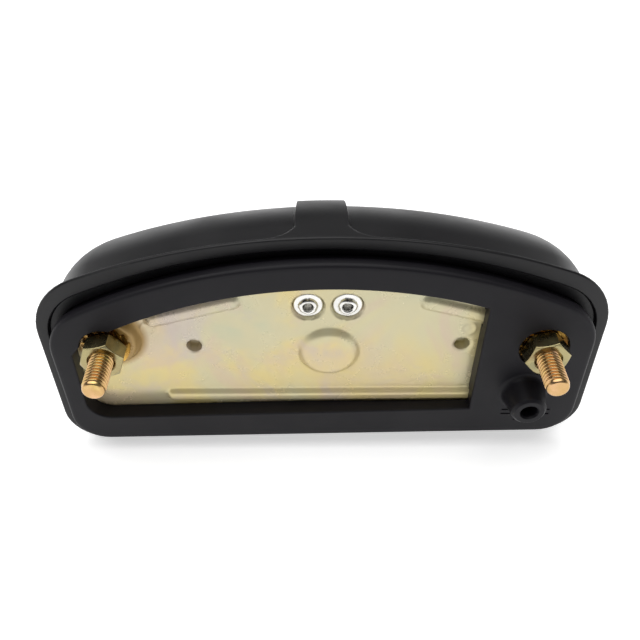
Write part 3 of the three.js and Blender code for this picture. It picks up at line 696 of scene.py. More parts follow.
def shell_rise(y):
    """How far the rim or the rib stands over the shell at a given depth."""
    share = min(1.0, max(0.0, (RIM_BACK - y) / (RIM_BACK - SHELL_FRONT)))
    return SHELL_INSET + (RIB_RISE_FRONT - SHELL_INSET) * share


def housing():
    """The shell with its rim, recess, pocket, rib and number plate window."""
    def recess(grow):
        return outline(**RECESS, grow=grow)

    def pocket(grow):
        return outline(**PAD_NECK, grow=PAD_PLAY + grow)

    def opening(grow):
        return outline(**PLATE, grow=0.4 + grow)  # play round the plate

    # The plate's opening, from the inside of the floor up to the recess floor, then the pocket,
    # the ledge and the recess, out to the rim's face.
    rings = [ring(points, y) for points, y in (
        (opening(0), FLOOR_BACK), (opening(0), RECESS_FLOOR - 0.2), (opening(0.2), RECESS_FLOOR),
        (pocket(-0.3), RECESS_FLOOR), (pocket(0), RECESS_FLOOR + 0.3), (pocket(0), RECESS_STEP - 0.15),
        (pocket(0.15), RECESS_STEP), (recess(-0.3), RECESS_STEP), (recess(0), RECESS_STEP + 0.3),
        (recess(0), RIM_FACE - 0.45), (recess(0.06), RIM_FACE - 0.22), (recess(0.2), RIM_FACE - 0.06),
        (recess(0.45), RIM_FACE))]
    # The rim's face and its rounded outer edge.
    rings += [scaled_ring(RIM_FACE - drop, inset) for inset, drop in (
        (1.4, 0), (0.5, 0), (0.2, 0.07), (0.06, 0.24), (0.0, 0.5))]
    # The outer skin, from the rim's edge over the rib and shell to the lens.
    depths = [RIM_BACK + 0.75 - 0.13 * i for i in range(14)]
    depths += [depths[-1] - 0.3 * (i + 1) for i in range(22)]
    depths += [depths[-1] + (SHELL_FRONT + 0.25 - depths[-1]) * (i + 1) / 26 for i in range(26)]
    for y in depths:
        base = shell_inset(y) - SHELL_INSET
        rise = shell_rise(y)
        insets = [base + SHELL_INSET - rise * rib_weight(x, z, y) for x, z in RIM_RING]
        rings.append(scaled_ring(y, insets))
    edge = [shell_inset(SHELL_FRONT) - RIB_RISE_FRONT * rib_weight(x, z, SHELL_FRONT)
            for x, z in RIM_RING]
    seat = shell_inset(SHELL_FRONT) + SEAT_WIDTH
    wall = shell_inset(FLOOR_BACK) + SHELL_WALL
    # The shell's edge, the seat of the lens seal, then back along the inside of the shell.
    rings += [scaled_ring(y, inset) for y, inset in (
        (SHELL_FRONT + 0.05, [k + 0.1 for k in edge]), (SHELL_FRONT, [k + 0.35 for k in edge]),
        (SHELL_FRONT, seat - 0.3), (SHELL_FRONT + 0.3, seat), (SHELL_FRONT + 1.6, seat - 0.1))]
    for y in (-29.2, -27.6, -25, -22, -19, -16.5, BEND_Y, -12, -10.2):
        rings.append(scaled_ring(y, shell_inset(y) + SHELL_WALL))
    rings += [scaled_ring(FLOOR_BACK - 0.35, wall + 0.1), scaled_ring(FLOOR_BACK, wall + 0.5)]
    body = temp(*loft(rings, wrap=True))
    # The number plate window, with corners of this radius.
    radius = 1.5
    corners = []
    for cx, cy, start in ((20.5, -14, 0), (-20.5, -14, 90), (-20.5, -26, 180), (20.5, -26, 270)):
        for k in range(6):
            a = math.radians(start + 18 * k)
            corners.append((cx + radius * math.cos(a), cy + radius * math.sin(a)))
    levels = [[seated_point(x, y, z) for x, y in corners] for z in (-45, -20)]
    carve(body, [temp(*loft(levels))])
    finish_piece(body, "housing_shell", "lamp", "housing", "black_plastic", 38)


housing()

# ------------------------------------------------------------------ gasket


def offset_chain(points, by):
    """A closed 2-D chain moved outwards by a small distance along its corner normals."""
    out = []
    n = len(points)
    area = sum(a * d - c * b for (a, b), (c, d) in zip(points, list(points[1:]) + [points[0]]))
    sign = 1 if area > 0 else -1
    for i in range(n):
        p, q, r = (Vector(points[(i + k) % n]) for k in (-1, 0, 1))
        u, v = (q - p).normalized(), (r - q).normalized()
        normal = Vector((u.y + v.y, -u.x - v.x))
        normal.normalize()
        out.append(tuple(q + normal * (sign * by / max(0.35, normal.dot(Vector((v.y, -v.x)))))))
    return out


def window_chain():
    """The window's outline: crowned on top, square at its -X end, round at its +X foot."""
    left, right, foot = WINDOW_LEFT, WINDOW_RIGHT, WINDOW_FOOT
    crown_z = WINDOW_TOP - WINDOW_CROWN
    corner = right - WINDOW_CORNER
    shoulder = right - 3

    def top_at(x):
        return crown_z + math.sqrt(WINDOW_CROWN ** 2 - (x - WINDOW_CROWN_X) ** 2)

    chain = [(left, foot)]
    chain += [(left + (corner - left) * i / 40, foot - WINDOW_FALL * i / 40) for i in range(1, 40)]
    corner_z = foot - WINDOW_FALL + WINDOW_CORNER
    for k in range(13):
        a = -math.pi / 2 + math.pi / 2 * k / 12
        chain.append((corner + WINDOW_CORNER * math.cos(a), corner_z + WINDOW_CORNER * math.sin(a)))
    chain.append((right, top_at(right) - 2))
    count = 72
    for k in range(count + 1):
        x = shoulder + (left + 0.2 - shoulder) * k / count
        chain.append((x, top_at(x)))
    end = top_at(left) - 0.3
    chain.append((left, end))
    chain += [(left, end + (foot + 0.3 - end) * i / 12) for i in range(1, 12)]
    return chain


def flared_cutter(chain, top, bottom, radius):
    """A cutter through a plate whose top face is at Y = top, which rounds the hole's edge."""
    levels = [(top + 1.0, radius)]
    for k in range(6):
        a = math.pi / 2 * k / 5
        levels.append((top + 0.001 - radius * (1 - math.cos(a)), radius * (1 - math.sin(a))))
    levels.append((bottom, 0.0))
    return temp(*loft([[(x, y, z) for x, z in offset_chain(chain, grow)] for y, grow in levels]))


def circle(x, z, radius, sides=72):
    angles = [TAU * k / sides for k in range(sides)]
    return [(x + radius * math.cos(a), z + radius * math.sin(a)) for a in angles]


def gasket():
    """The rubber pad with its lip, window, stud holes, cable nipple and sunk dashes."""
    def pad(grow):
        return outline(**PAD, grow=grow)

    def neck(grow):
        return outline(**PAD_NECK, grow=grow)

    def inner(grow):
        return outline(**PLATE, grow=PAD_PLAY + grow)

    round_edge = 1.1
    levels = [(pad(-6), 0.0), (pad(-1.6), 0.0)]
    for k in range(1, 7):
        a = math.pi / 2 * k / 6
        levels.append((pad(-round_edge * (1 - math.sin(a))), -round_edge * (1 - math.cos(a))))
    levels += [(pad(0.02), -2.0), (pad(0.0), -2.6), (pad(-0.12), -2.95), (pad(-0.4), -3.2),
               (neck(0.15), -3.25), (neck(0.0), -3.45), (neck(0.0), -6.4), (neck(-0.3), -6.7),
               (inner(0.3), -6.7), (inner(0.0), -6.4), (inner(0.0), -4.5), (inner(-8), -4.5)]
    body = temp(*loft([ring(points, y) for points, y in levels]))
    cutters = [flared_cutter(window_chain(), 0.0, -THROUGH, 0.45)]
    for side in (-1, 1):
        cutters.append(flared_cutter(circle(side * STUD_X, 0, 6.3), 0.0, -THROUGH, 0.25))
        cutters.append(rod(BOSS_FOOT + 0.3, -THROUGH, -1.8, side * STUD_X, 0, 64))
    for x0, z0, x1, z1 in BEADS:
        cutters.append(bead_cutter(x0, z0, x1, z1))
    carve(body, cutters)
    # The cable nipple, joined to the pad, then its bore.
    at = (NIPPLE_X, 0, NIPPLE_Z)
    top = NIPPLE_HEIGHT
    profile = rounded([(0, -2), (7.4, -2), (6.9, -0.02), (5.95, 0.35), (5.6, 1.2), (4.5, top - 0.7),
                       (3.8, top), (0, top)], [0, 0, 0, 1.0, 0.8, 0.5, 0.3, 0])
    carve(body, [temp(*lathe(profile, at, sides=72))], "UNION")
    bore = rounded([(0, -THROUGH), (2.2, -THROUGH), (2.2, top - 0.6), (2.6, top + 0.2), (0, top + 0.2)],
                   [0, 0, 0.4, 0, 0])
    carve(body, [temp(*lathe(bore, at, sides=48))])
    # Short pairs of sunk dashes below the nipple.
    dashes = []
    for cx, cz, half in ((-49.4, -22.7, 1.3), (-49.4, -24.35, 1.3), (-60.2, -22.8, 1.1),
                         (-60.2, -24.5, 1.1), (-53.2, -26.7, 1.3)):
        dashes.append(temp(*box_mesh(cx - half, cx + half, -0.25, 0.5, cz - 0.28, cz + 0.28)))
    carve(body, dashes)
    finish_piece(body, "gasket_pad", "lamp", "mounting_gasket", "gasket_rubber", 42)


def bead_chain(x0, z0, x1, z1, width, steps=12):
    along = math.atan2(z1 - z0, x1 - x0)
    chain = []
    for cx, cz, start in ((x1, z1, along - math.pi / 2), (x0, z0, along + math.pi / 2)):
        for k in range(steps + 1):
            a = start + math.pi * k / steps
            chain.append((cx + width / 2 * math.cos(a), cz + width / 2 * math.sin(a)))
    return chain


def bead_cutter(x0, z0, x1, z1):
    chain = bead_chain(x0, z0, x1, z1, BEAD_WIDTH + 0.6)
    return temp(*loft([[(x, y, z) for x, z in chain] for y in (-3.3, -5.6)]))


gasket()

# ------------------------------------------------------------------ base plate


def ease(t):
    t = np.clip(t, 0.0, 1.0)
    return t * t * (3 - 2 * t)


def segment_distance(x, z, x0, z0, x1, z1):
    dx, dz = x1 - x0, z1 - z0
    t = np.clip(((x - x0) * dx + (z - z0) * dz) / (dx * dx + dz * dz), 0.0, 1.0)
    return np.hypot(x - x0 - t * dx, z - z0 - t * dz)


def ridge(distance, width, height, crest):
    """A pressed bead's height at a distance from its centre line."""
    t = np.clip((width / 2 - distance) / crest, 0.0, 1.0)
    return height * np.sin(t * math.pi / 2) ** 1.1


def boss(distance, foot, face, height, fall=0.5):
    """A round pressed boss with a rounded shoulder."""
    return height * ease((foot + fall * 0.5 - distance) / (foot - face + fall))


def bell(distance, width):
    return np.exp(-((distance / width) ** 2))


def plate_height(x, z):
    """Height of the base plate's pressings over its flat face, for arrays of x and z."""
    h = np.zeros_like(x)
    for side in (-1, 1):
        h += boss(np.hypot(x - side * STUD_X, z), 8.5, 7.0, BOSS_HEIGHT, 0.3)
    disc = np.hypot(x - DISC_X, z - DISC_Z)
    h += DISC_HEIGHT * np.sin(np.clip((8.05 - disc) / 2.1, 0, 1) * math.pi / 2)
    h -= 0.08 * bell(disc - 8.6, 0.3)
    h -= 0.1 * ease((5.9 - disc) / 3.6)
    for bead in BEADS:
        h = np.maximum(h, ridge(segment_distance(x, z, *bead), BEAD_WIDTH, 1.2, 1.7))
    for cx, cz in ((44.5, 2.9), (-36.2, 2.7)):
        d = np.hypot(x - cx, z - cz)
        h += 0.16 * bell(d - 1.9, 0.42) - 0.1 * bell(d, 1.1) + 0.12 * bell(d, 0.6)
    for _, cx in RIVETS:
        d = np.hypot(x - cx, z - RIVET_Z)
        h += 0.04 * bell(d - 4.7, 0.3) - 1.3 * ease((4.35 - d) / 0.6)
    for cx, cz in CUPS:
        d = np.hypot(x - cx, z - cz)
        h -= 0.35 * ease((2.75 - d) / 0.8)
    for cx, cz, size, depth in SPOT_MARKS:
        h += depth * bell(np.hypot(x - cx, z - cz), size)
    return h


SPOT_MARKS = []
for cx, cz, spread, count in ((28, -1.8, 1.9, 10), (32.5, -15.5, 2.2, 12), (-37.0, -17.3, 1.6, 9),
                              (-22.3, -3.6, 0.7, 3), (12.6, 0.8, 0.3, 1), (20, -11, 9, 5),
                              (-24, -12, 8, 5)):
    for _ in range(count):
        SPOT_MARKS.append((random.gauss(cx, spread), random.gauss(cz, spread * 0.7),
                           random.uniform(0.25, 0.55), random.choice((-0.09, -0.06, 0.07, 0.05))))


def column_ends(x, half, top, bottom, crown, shoulder, foot):
    """The lowest and highest Z of an outline at a given x."""
    x = min(abs(x), half)
    crown_z = top - crown
    shoulder_x = half - shoulder
    shoulder_z = crown_z + math.sqrt((crown - shoulder) ** 2 - shoulder_x ** 2)
    turn = math.atan2(shoulder_z - crown_z, shoulder_x)
    if x < shoulder_x + shoulder * math.cos(turn):
        high = crown_z + math.sqrt(crown ** 2 - x ** 2)
    else:
        high = shoulder_z + math.sqrt(max(0.0, shoulder ** 2 - (x - shoulder_x) ** 2))
    low = bottom
    if x > half - foot:
        low = bottom + foot - math.sqrt(max(0.0, foot ** 2 - (x - half + foot) ** 2))
    return low, high


def plate_columns():
    """x of the grid's columns: even, then closing up towards the round ends."""
    half = PLATE["half"]
    xs = [i * 0.36 for i in range(-166, 167)]
    tail = [half - (half - xs[-1] - 0.36) * (1 - math.sin(math.pi / 2 * k / 12)) for k in range(13)]
    return [-x for x in reversed(tail)] + xs + tail


def base_plate():
    """The pressed sheet: a fine grid for its face and back, a rolled edge and a skirt."""
    face_inset = 0.5
    inner = {key: value - face_inset for key, value in PLATE.items()}
    inner["bottom"] = PLATE["bottom"] + face_inset
    columns = [x * inner["half"] / PLATE["half"] for x in plate_columns()]
    rows = 130
    grid = []
    for x in columns:
        low, high = column_ends(x, **inner)
        for j in range(rows + 1):
            grid.append((x, low + (high - low) * j / rows))
    count = rows + 1
    gaps = np.array([column_gap(x, z, inner) for x, z in grid])
    xs, zs = np.array([seated(x, z) for x, z in grid]).T
    heights = plate_height(xs, zs)
    front = list(zip(xs, PLATE_FACE + heights, zs))
    back = list(zip(xs, PLATE_FACE - SHEET + heights * ease(gaps / 2.0), zs))
    verts = front + back
    faces = rings_to_faces(len(columns), count, False, False)
    faces += [tuple(reversed(f)) for f in rings_to_faces(len(columns), count, False, False, len(front))]
    # The grid's border, in order, carried round the rolled edge and down the skirt.
    last = len(columns) - 1
    border = [i * count for i in range(last + 1)]
    border += [last * count + j for j in range(1, count)]
    border += [i * count + rows for i in range(last - 1, -1, -1)]
    border += [j for j in range(rows - 1, 0, -1)]
    loop = [(verts[k][0], verts[k][2]) for k in border]

    def add_ring(grow, y):
        start = len(verts)
        verts.extend((x, y, z) for x, z in offset_chain(loop, grow))
        return list(range(start, start + len(loop)))

    rings = [border]
    for k in range(1, 6):
        a = math.pi / 2 * k / 5
        rings.append(add_ring(face_inset * math.sin(a), PLATE_FACE - face_inset * (1 - math.cos(a)) * 1.4))
    edge, back_edge = SKIRT_END + 0.2, face_inset - SHEET
    for grow, y in ((face_inset, edge), (face_inset - 0.2, SKIRT_END), (back_edge + 0.2, SKIRT_END),
                    (back_edge, edge), (back_edge, PLATE_FACE - SHEET - 0.4)):
        rings.append(add_ring(grow, y))
    rings.append([k + len(front) for k in border])
    for low, high in zip(rings, rings[1:]):
        for k in range(len(loop)):
            m = (k + 1) % len(loop)
            faces.append((low[k], low[m], high[m], high[k]))
    body = temp(verts, faces)
    cups = [temp(*lathe(rounded([(0, -9.3), (2.9, -9.3), (2.9, -5.3), (0, -5.3)], [0, 0.8, 0, 0]),
                        (cx, 0, cz), sides=48)) for cx, cz in CUPS]
    carve(body, cups, "UNION")
    cutters = []
    for side in (-1, 1):
        cutters.append(rod(3.05, -THROUGH, 1, side * STUD_X, 0, 40))
    for cx, cz in CUPS:
        hole = rounded([(0, -8.5), (2.0, -8.5), (2.0, -5.2), (2.4, -4.5), (0, -4.5)], [0, 0.7, 0.3, 0, 0])
        cutters.append(temp(*lathe(hole, (cx, 0, cz), sides=48)))
    for _, cx in RIVETS:
        cutters.append(rod(RIVET_HOLE, -THROUGH, 0, cx, RIVET_Z, 32))
    cutters.append(rod(3.4, -THROUGH, 0, CABLE_HOLE_X, NIPPLE_Z))
    carve(body, cutters)
    finish_piece(body, "pressed_plate", "lamp", "base_plate", "base_zinc", 50)


def column_gap(x, z, form):
    """How far a point of the plate is from the nearer end of its column or row."""
    low, high = column_ends(x, **form)
    return max(0.0, min(z - low, high - z, form["half"] - abs(x)))


base_plate()

# ------------------------------------------------------------------ studs, nuts and washers


def threaded(radius, depth, pitch, y0, y1, chamfer, sides=56, step=0.085):
    """The rings of a thread from y0 to y1: a single start helix with a chamfered tip."""
    rings = []
    count = int((y1 - y0) / step)
    for i in range(count + 1):
        y = y0 + (y1 - y0) * i / count
        row = []
        for k in range(sides):
            t = k / sides
            phase = (y / pitch - t) % 1.0
            tooth = 1 - abs(2 * phase - 1)
            form = min(1.0, max(0.0, (tooth - 0.13) / 0.66))
            r = radius - depth * (1 - form)
            limit = radius - max(0.0, y - (y1 - chamfer)) * 0.95
            r = min(r, limit)
            row.append((r * math.cos(TAU * t), y, r * math.sin(TAU * t)))
        rings.append(row)
    return rings


def lathe_ring(r, y, sides=56):
    return [(r * math.cos(TAU * k / sides), y, r * math.sin(TAU * k / sides)) for k in range(sides)]


def moved(verts, x, z=0.0):
    return [(a + x, b, c + z) for a, b, c in verts]


def mounting_stud(name, x, turn):
    """A headed stud with a helical thread and a rounded tip."""
    head = [(0.01, -5.2), (5.8, -5.2), (6, -5.0), (6, -3.6), (5.8, -3.4), (2.9, -3.4), (2.9, -1.5),
            (2.9, -0.5)]
    tip = [(2.78, 13.12), (2.74, 13.4), (2.6, 13.7), (2.4, 13.9), (2.22, 13.99), (1.95, 14.0), (1.2, 13.97),
           (0.5, 13.96), (0.01, 13.96)]
    rings = [lathe_ring(r, y) for r, y in head]
    rings += threaded(STUD_RADIUS, 0.55, STUD_PITCH, 0.0, 13.0, 0.35)
    rings += [lathe_ring(r, y) for r, y in tip]
    verts, faces = loft(rings)
    c, s = math.cos(turn), math.sin(turn)
    verts = [(a * c - b * s, y, a * s + b * c) for a, y, b in verts]
    add(f"{name}_threaded_stud", (moved(verts, x), faces), "lamp", f"{name}_stud", "stud_zinc", 60)


def hex_radius(angle, turn, across):
    """The distance from a hexagon's centre to its side, in a given direction."""
    a = (angle - turn) % (math.pi / 3) - math.pi / 6
    return across / 2 * math.cos(math.pi / 6) / math.cos(a)


def hex_nut(name, x, turn_degrees):
    """A hexagon nut, both of whose faces are chamfered to a cone."""
    turn = math.radians(turn_degrees)
    sides = 96
    angles = [turn + TAU * k / sides for k in range(sides)]
    corner = NUT_CORNER
    flat = corner * math.cos(math.pi / 6)
    slope = math.tan(math.radians(30))
    back, front = NUT_BACK, NUT_FRONT
    rings = []

    def flat_ring(r, y):
        rings.append([(r * math.cos(a), y, r * math.sin(a)) for a in angles])

    def side_ring(grow, y_of):
        row = []
        for a in angles:
            r = hex_radius(a, turn, 2 * corner) - grow
            row.append((r * math.cos(a), y_of(r), r * math.sin(a)))
        rings.append(row)

    def front_cone(r):
        return front - max(0.0, r - (flat - 0.12)) * slope

    def back_cone(r):
        return back + max(0.0, r - (flat - 0.12)) * slope

    for r, y in ((3.0, 1.4), (3.0, front - 0.65), (3.42, front - 0.12), (3.55, front - 0.02),
                 (3.7, front), (flat - 0.45, front)):
        flat_ring(r, y)
    for share in (0.0, 0.35, 0.7, 1.0):
        row = []
        for a in angles:
            start = flat - 0.3
            r = start + (hex_radius(a, turn, 2 * corner) - 0.07 - start) * share
            row.append((r * math.cos(a), front_cone(r), r * math.sin(a)))
        rings.append(row)
    side_ring(0.0, lambda r: front_cone(r) - 0.09)
    side_ring(0.0, lambda r: (front + back) / 2 + 0.6)
    side_ring(0.0, lambda r: back_cone(r) + 0.09)
    side_ring(0.07, back_cone)
    for r, y in ((flat - 0.3, back), (3.7, back), (3.0, back + 0.6)):
        flat_ring(r, y)
    verts, faces = loft(rings, wrap=True)
    add(f"{name}_hex_nut", (moved(verts, x), faces), f"{name}_nut", f"{name}_nut", "nut_zinc", 22)


def star_washer(name, x, turn):
    """A ring with twelve twisted teeth, each lying over the next like a shutter's leaves."""
    sections = [(3.25, -1.65), (4.9, -1.65), (4.9, -1.15), (3.25, -1.15)]
    ring_body = temp(*lathe(sections, (x, 0, 0), sides=96, closed=True))
    teeth = []
    lean = math.radians(27)
    thick = 0.14
    for i in range(WASHER_TEETH):
        middle = turn + TAU * i / WASHER_TEETH
        rings = []
        for r, half in ((4.3, 1.0), (4.8, 1.1), (5.2, 1.35), (5.6, 1.5), (5.9, 1.5), (6.07, 1.35)):
            tilt = lean * smooth((r - 4.4) / 0.8)
            row = []
            for u, v in ((-1, -1), (0, -1), (1, -1), (1, 1), (0, 1), (-1, 1)):
                along = half * u * math.cos(tilt) - thick * v * math.sin(tilt)
                rise = half * u * math.sin(tilt) + thick * v * math.cos(tilt)
                rise = max(-WASHER_HALF, min(WASHER_HALF, rise))
                a = middle + along / r
                row.append((r * math.cos(a), WASHER_MIDDLE + rise, r * math.sin(a)))
            rings.append(row)
        verts, faces = loft(rings)
        teeth.append(temp(moved(verts, x), faces))
    carve(ring_body, teeth, "UNION")
    finish_piece(ring_body, f"{name}_lock_washer", f"{name}_washer", f"{name}_star_washer",
                 "washer_zinc", 24)


for name, side, nut_turn, washer_turn in (("left", 1, -10.9, 0.1), ("right", -1, -12.7, 0.32)):
    mounting_stud(name, side * STUD_X, 0.7 if side > 0 else 2.1)
    hex_nut(name, side * STUD_X, nut_turn)
    star_washer(name, side * STUD_X, washer_turn)

# ------------------------------------------------------------------ bracket rivets


def bracket_rivet(name, cx, side):
    """A semi-tubular rivet whose rolled head is a little uneven."""
    face = -6.1  # the floor of the rivet's well
    bore = [(0, -8.2), (0.9, -8.3), (1.2, -8.0)]
    head = [(1.2, 1.1), (1.3, 1.45), (1.55, 1.66), (1.9, 1.66), (2.2, 1.42), (2.3, 1.05), (2.5, 0.82),
            (2.9, 0.74), (3.35, 0.74), (3.62, 0.62), (3.74, 0.4), (3.7, 0.12), (3.5, 0.05), (1.6, 0.05)]
    tail = [(1.6, -8.9), (2.7, -8.9), (2.85, -9.1), (2.7, -9.55), (2.3, -9.8), (0, -9.8)]
    verts, faces = lathe(bore + [(r, face + h) for r, h in head] + tail, sides=72)
    wobble = []
    for x, y, z in verts:
        a = math.atan2(z, x)
        r = math.hypot(x, z)
        if y > face and r < 2.5:
            grow = 1 + 0.035 * math.sin(3 * a + side) + 0.02 * math.sin(7 * a)
            x, z = x * grow, z * grow
            y += 0.05 * math.sin(2 * a + 2 * side)
        elif y > face + 0.3:
            y += 0.03 * math.sin(5 * a + side)
        wobble.append((x, y, z))
    add(f"{name}_tubular_rivet", (moved(wobble, cx, RIVET_Z), faces), "lamp", f"{name}_bracket_rivet",
        "rivet_aluminium", 40)


for name, cx in RIVETS:
    bracket_rivet(name, cx, 1 if cx > 0 else -1)

# ------------------------------------------------------------------ lens, seals and window


def lens_level(turn, radius):
    return BEND_Y - radius * math.sin(turn), SHELL_INSET + BEND_R + 0.3 - radius * math.cos(turn)


def fluted(points, depth):
    """Points of the lens's inside, raised in upright flutes 3 mm wide."""
    return [(x, y + depth * (0.5 - 0.5 * math.cos(x * TAU / 3.0)), z) for x, y, z in points]


def lens():
    """The lens: smooth outside, fluted inside, with screw pockets."""
    outer_start = math.asin((BEND_Y - LENS_BACK) / BEND_R)
    inner_radius = BEND_R - LENS_WALL
    inner_start = math.asin((BEND_Y - LENS_BACK) / inner_radius)
    end = math.pi / 2 - 0.2
    rings = []
    steps = 22
    for i in range(steps + 1):
        y, inset = lens_level(outer_start + (end - outer_start) * i / steps, BEND_R)
        rings.append(scaled_ring(y, inset))
    y, inset = lens_level(end, BEND_R)
    for share in (0.3, 0.6, 0.85, 1.0):
        rings.append(scaled_ring(y - LENS_CROWN * math.sin(share * math.pi / 2), inset + 4 * share))
    y_face = y - LENS_CROWN
    middle_levels = [inset + 4 + (HALF_HEIGHT * 0.98 - inset - 4) * k / 5 for k in (1, 2, 3, 4, 5)]
    for level in middle_levels:
        rings.append(scaled_ring(y_face - 0.02, level))
    inner = []
    for i in range(steps + 1):
        turn = inner_start + (end - inner_start) * i / steps
        y, inset = lens_level(turn, inner_radius)
        inner.append(fluted(scaled_ring(y, inset), 0.28 * smooth(i / 3)))
    y, inset = lens_level(end, inner_radius)
    for level in [inset + 3] + middle_levels[1:]:
        inner.append(fluted(scaled_ring(y - 0.5, level), 0.28))
    body = temp(*loft(inner[::-1] + rings))
    tubes, holes = [], []
    for side in (-1, 1):
        at = (side * SCREW_X, 0, SCREW_Z)
        tubes.append(rod(LENS_TUBE, LENS_FACE - 1.5, LENS_BACK + 1.2, side * SCREW_X, SCREW_Z))
        hole = [(0, -60), (4.1, -60), (4.1, LENS_FACE), (2.3, LENS_FACE), (2.3, -20), (0, -20)]
        holes.append(temp(*lathe(hole, at, sides=48)))
    carve(body, tubes, "UNION")
    carve(body, holes)
    finish_piece(body, "fluted_lens", "lens", "lens", "red_lens", 32)


lens()


def lens_seal():
    """A D-shaped strip between the housing and the lens."""
    back, front = SHELL_FRONT - 0.3, LENS_BACK + 0.3
    outer = shell_inset(SHELL_FRONT) + 1.2
    inner = shell_inset(SHELL_FRONT) + SEAT_WIDTH - 0.2
    middle, half = (back + front) / 2, (back - front) / 2
    rings = []
    for k in range(16):
        a = TAU * k / 16
        u, v = math.cos(a), math.sin(a)
        u = math.copysign(abs(u) ** 0.55, u)
        v = math.copysign(abs(v) ** 0.7, v)
        rings.append(scaled_ring(middle + half * v, (outer + inner) / 2 + (inner - outer) / 2 * u))
    add("seal_strip", loft(rings, wrap=True), "lamp", "lens_seal", "seal_rubber", 60)


lens_seal()


def plate_window():
    """The clear strip in the housing's underside, with softened edges and fine ribs inside."""
    x_half, front, back = 21.7, -27.2, -12.8
    columns = [-x_half + 2 * x_half * i / 110 for i in range(111)]
    depths = [front + (back - front) * i / 16 for i in range(17)]

    def floor_z(y, inward):
        return MIDDLE + (RIM["bottom"] - MIDDLE) * (1 - (shell_inset(y) + inward) / HALF_HEIGHT)

    rows = []
    for x in columns:
        edge = smooth((x_half - abs(x)) / 0.35)
        ripple = 0.16 * (0.5 - 0.5 * math.cos(x * TAU / 1.7)) * edge
        lift = 0.15 * (1 - edge)
        row = [seated_point(x, y, floor_z(y, 0) + lift) for y in depths]
        row += [seated_point(x, y, floor_z(y, SHELL_WALL) - ripple) for y in reversed(depths)]
        rows.append(row)
    return loft(rows)


add("clear_strip", plate_window(), "lamp", "number_plate_window", "clear_window", 40)

# ------------------------------------------------------------------ lens fixings

for name, side in SIDES:
    at = (side * SCREW_X, 0, SCREW_Z)
    low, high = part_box(f"{name}_lens_pillar")
    back, front = high.y / MM, low.y / MM
    profile = rounded([(0, back), (6, back), (6, back - 1.2), (3.8, back - 1.2), (3.8, front), (2.1, front),
                       (2.1, front + 14), (0, front + 14)], [0, 0.25, 0.3, 0.5, 0.35, 0.2, 0.3, 0])
    add(f"{name}_pillar", lathe(profile, at, sides=48), "lamp", f"{name}_lens_pillar", "pillar_steel")
    low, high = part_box(f"{name}_screw_seal")
    back, front = high.y / MM, low.y / MM
    profile = rounded([(2.05, back), (3.6, back), (3.6, front), (2.05, front), (2.05, back)],
                      [0, 0.3, 0.3, 0.3, 0])
    add(f"{name}_screw_ring", lathe(profile[:-1], at, sides=40, closed=True), f"{name}_screw_seal",
        f"{name}_screw_seal", "seal_rubber")


def lens_screw(name, side):
    low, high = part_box(f"{name}_lens_screw")
    tip, top = high.y / MM, low.y / MM
    seat = LENS_FACE - 1.1
    sides = 48
    rings = [lathe_ring(0.01, tip, sides), lathe_ring(1.2, tip, sides)]
    rings += threaded(1.95, 0.32, 0.7, seat + 1.4, tip - 0.05, 0.6, sides, 0.09)[::-1]
    rings += [lathe_ring(1.6, seat + 1.2, sides), lathe_ring(1.62, seat + 0.05, sides)]
    head = [(3.4, seat), (3.52, seat - 0.15), (3.5, seat - 0.9), (3.36, seat - 1.4), (3.0, seat - 1.85),
            (2.4, top + 0.1), (1.5, top), (0.01, top)]
    rings += [lathe_ring(r, y, sides) for r, y in head]
    verts, faces = loft(rings)
    body = temp(moved(verts, side * SCREW_X, SCREW_Z), faces)
    x = side * SCREW_X
    carve(body, [temp(*box_mesh(x - 0.55, x + 0.55, top - 1, top + 1.1, SCREW_Z - 5, SCREW_Z + 5))])
    finish_piece(body, f"{name}_slotted_screw", f"{name}_screw", f"{name}_lens_screw", "screw_steel", 40)


for name, side in SIDES:
    lens_screw(name, side)

# ------------------------------------------------------------------ bulb carrier


def bulb_bracket():
    """A folded carrier: a foot on the base plate and two webs with round ends."""
    body = temp(*box_mesh(-10, 10, -8.6, -7.4, -10, 14.2))
    webs = []
    for side in (-1, 1):
        chain = [(-7.6, -8), (-7.6, 5), (-17, AXIS_Z + ARM), (AXIS_Y, AXIS_Z + ARM)]
        for k in range(1, 24):
            a = math.pi / 2 + math.pi * k / 24
            chain.append((AXIS_Y + ARM * math.cos(a), AXIS_Z + ARM * math.sin(a)))
        chain.append((AXIS_Y, AXIS_Z - ARM))
        webs.append(temp(*loft([[(side * x, y, z) for y, z in chain] for x in (2.2, 3.4)])))
    carve(body, webs, "UNION")
    cutters = [temp(*lathe([(0, -6), (3, -6), (3, 6), (0, 6)], (0, AXIS_Y, AXIS_Z), "+X", 48))]
    for _, cx in RIVETS:
        cutters.append(rod(RIVET_HOLE, -12, 0, cx, RIVET_Z, 32))
    carve(body, cutters)
    bevel = body.modifiers.new("bevel", "BEVEL")
    bevel.width = 0.12 * MM
    bevel.segments = 2
    bevel.angle_limit = math.radians(50)
    apply_modifiers(body)
    finish_piece(body, "folded_bracket", "lamp", "bulb_bracket", "bracket_zinc", 40)


bulb_bracket()


def tube(path, radius, sides=10):
    """A closed round tube along a path of points, with its frames carried along."""
    rings = []
    normal = None
    for i, p in enumerate(path):
        p = Vector(p)
        ahead = Vector(path[min(i + 1, len(path) - 1)]) - Vector(path[max(i - 1, 0)])
        ahead.normalize()
        if normal is None:
            normal = ahead.orthogonal().normalized()
        normal = (normal - ahead * normal.dot(ahead)).normalized()
        other = ahead.cross(normal)
        r = radius[i] if hasattr(radius, "__len__") else radius
        angles = [TAU * k / sides for k in range(sides)]
        rings.append([tuple(p + (normal * math.cos(a) + other * math.sin(a)) * r) for a in angles])
    return loft(rings)


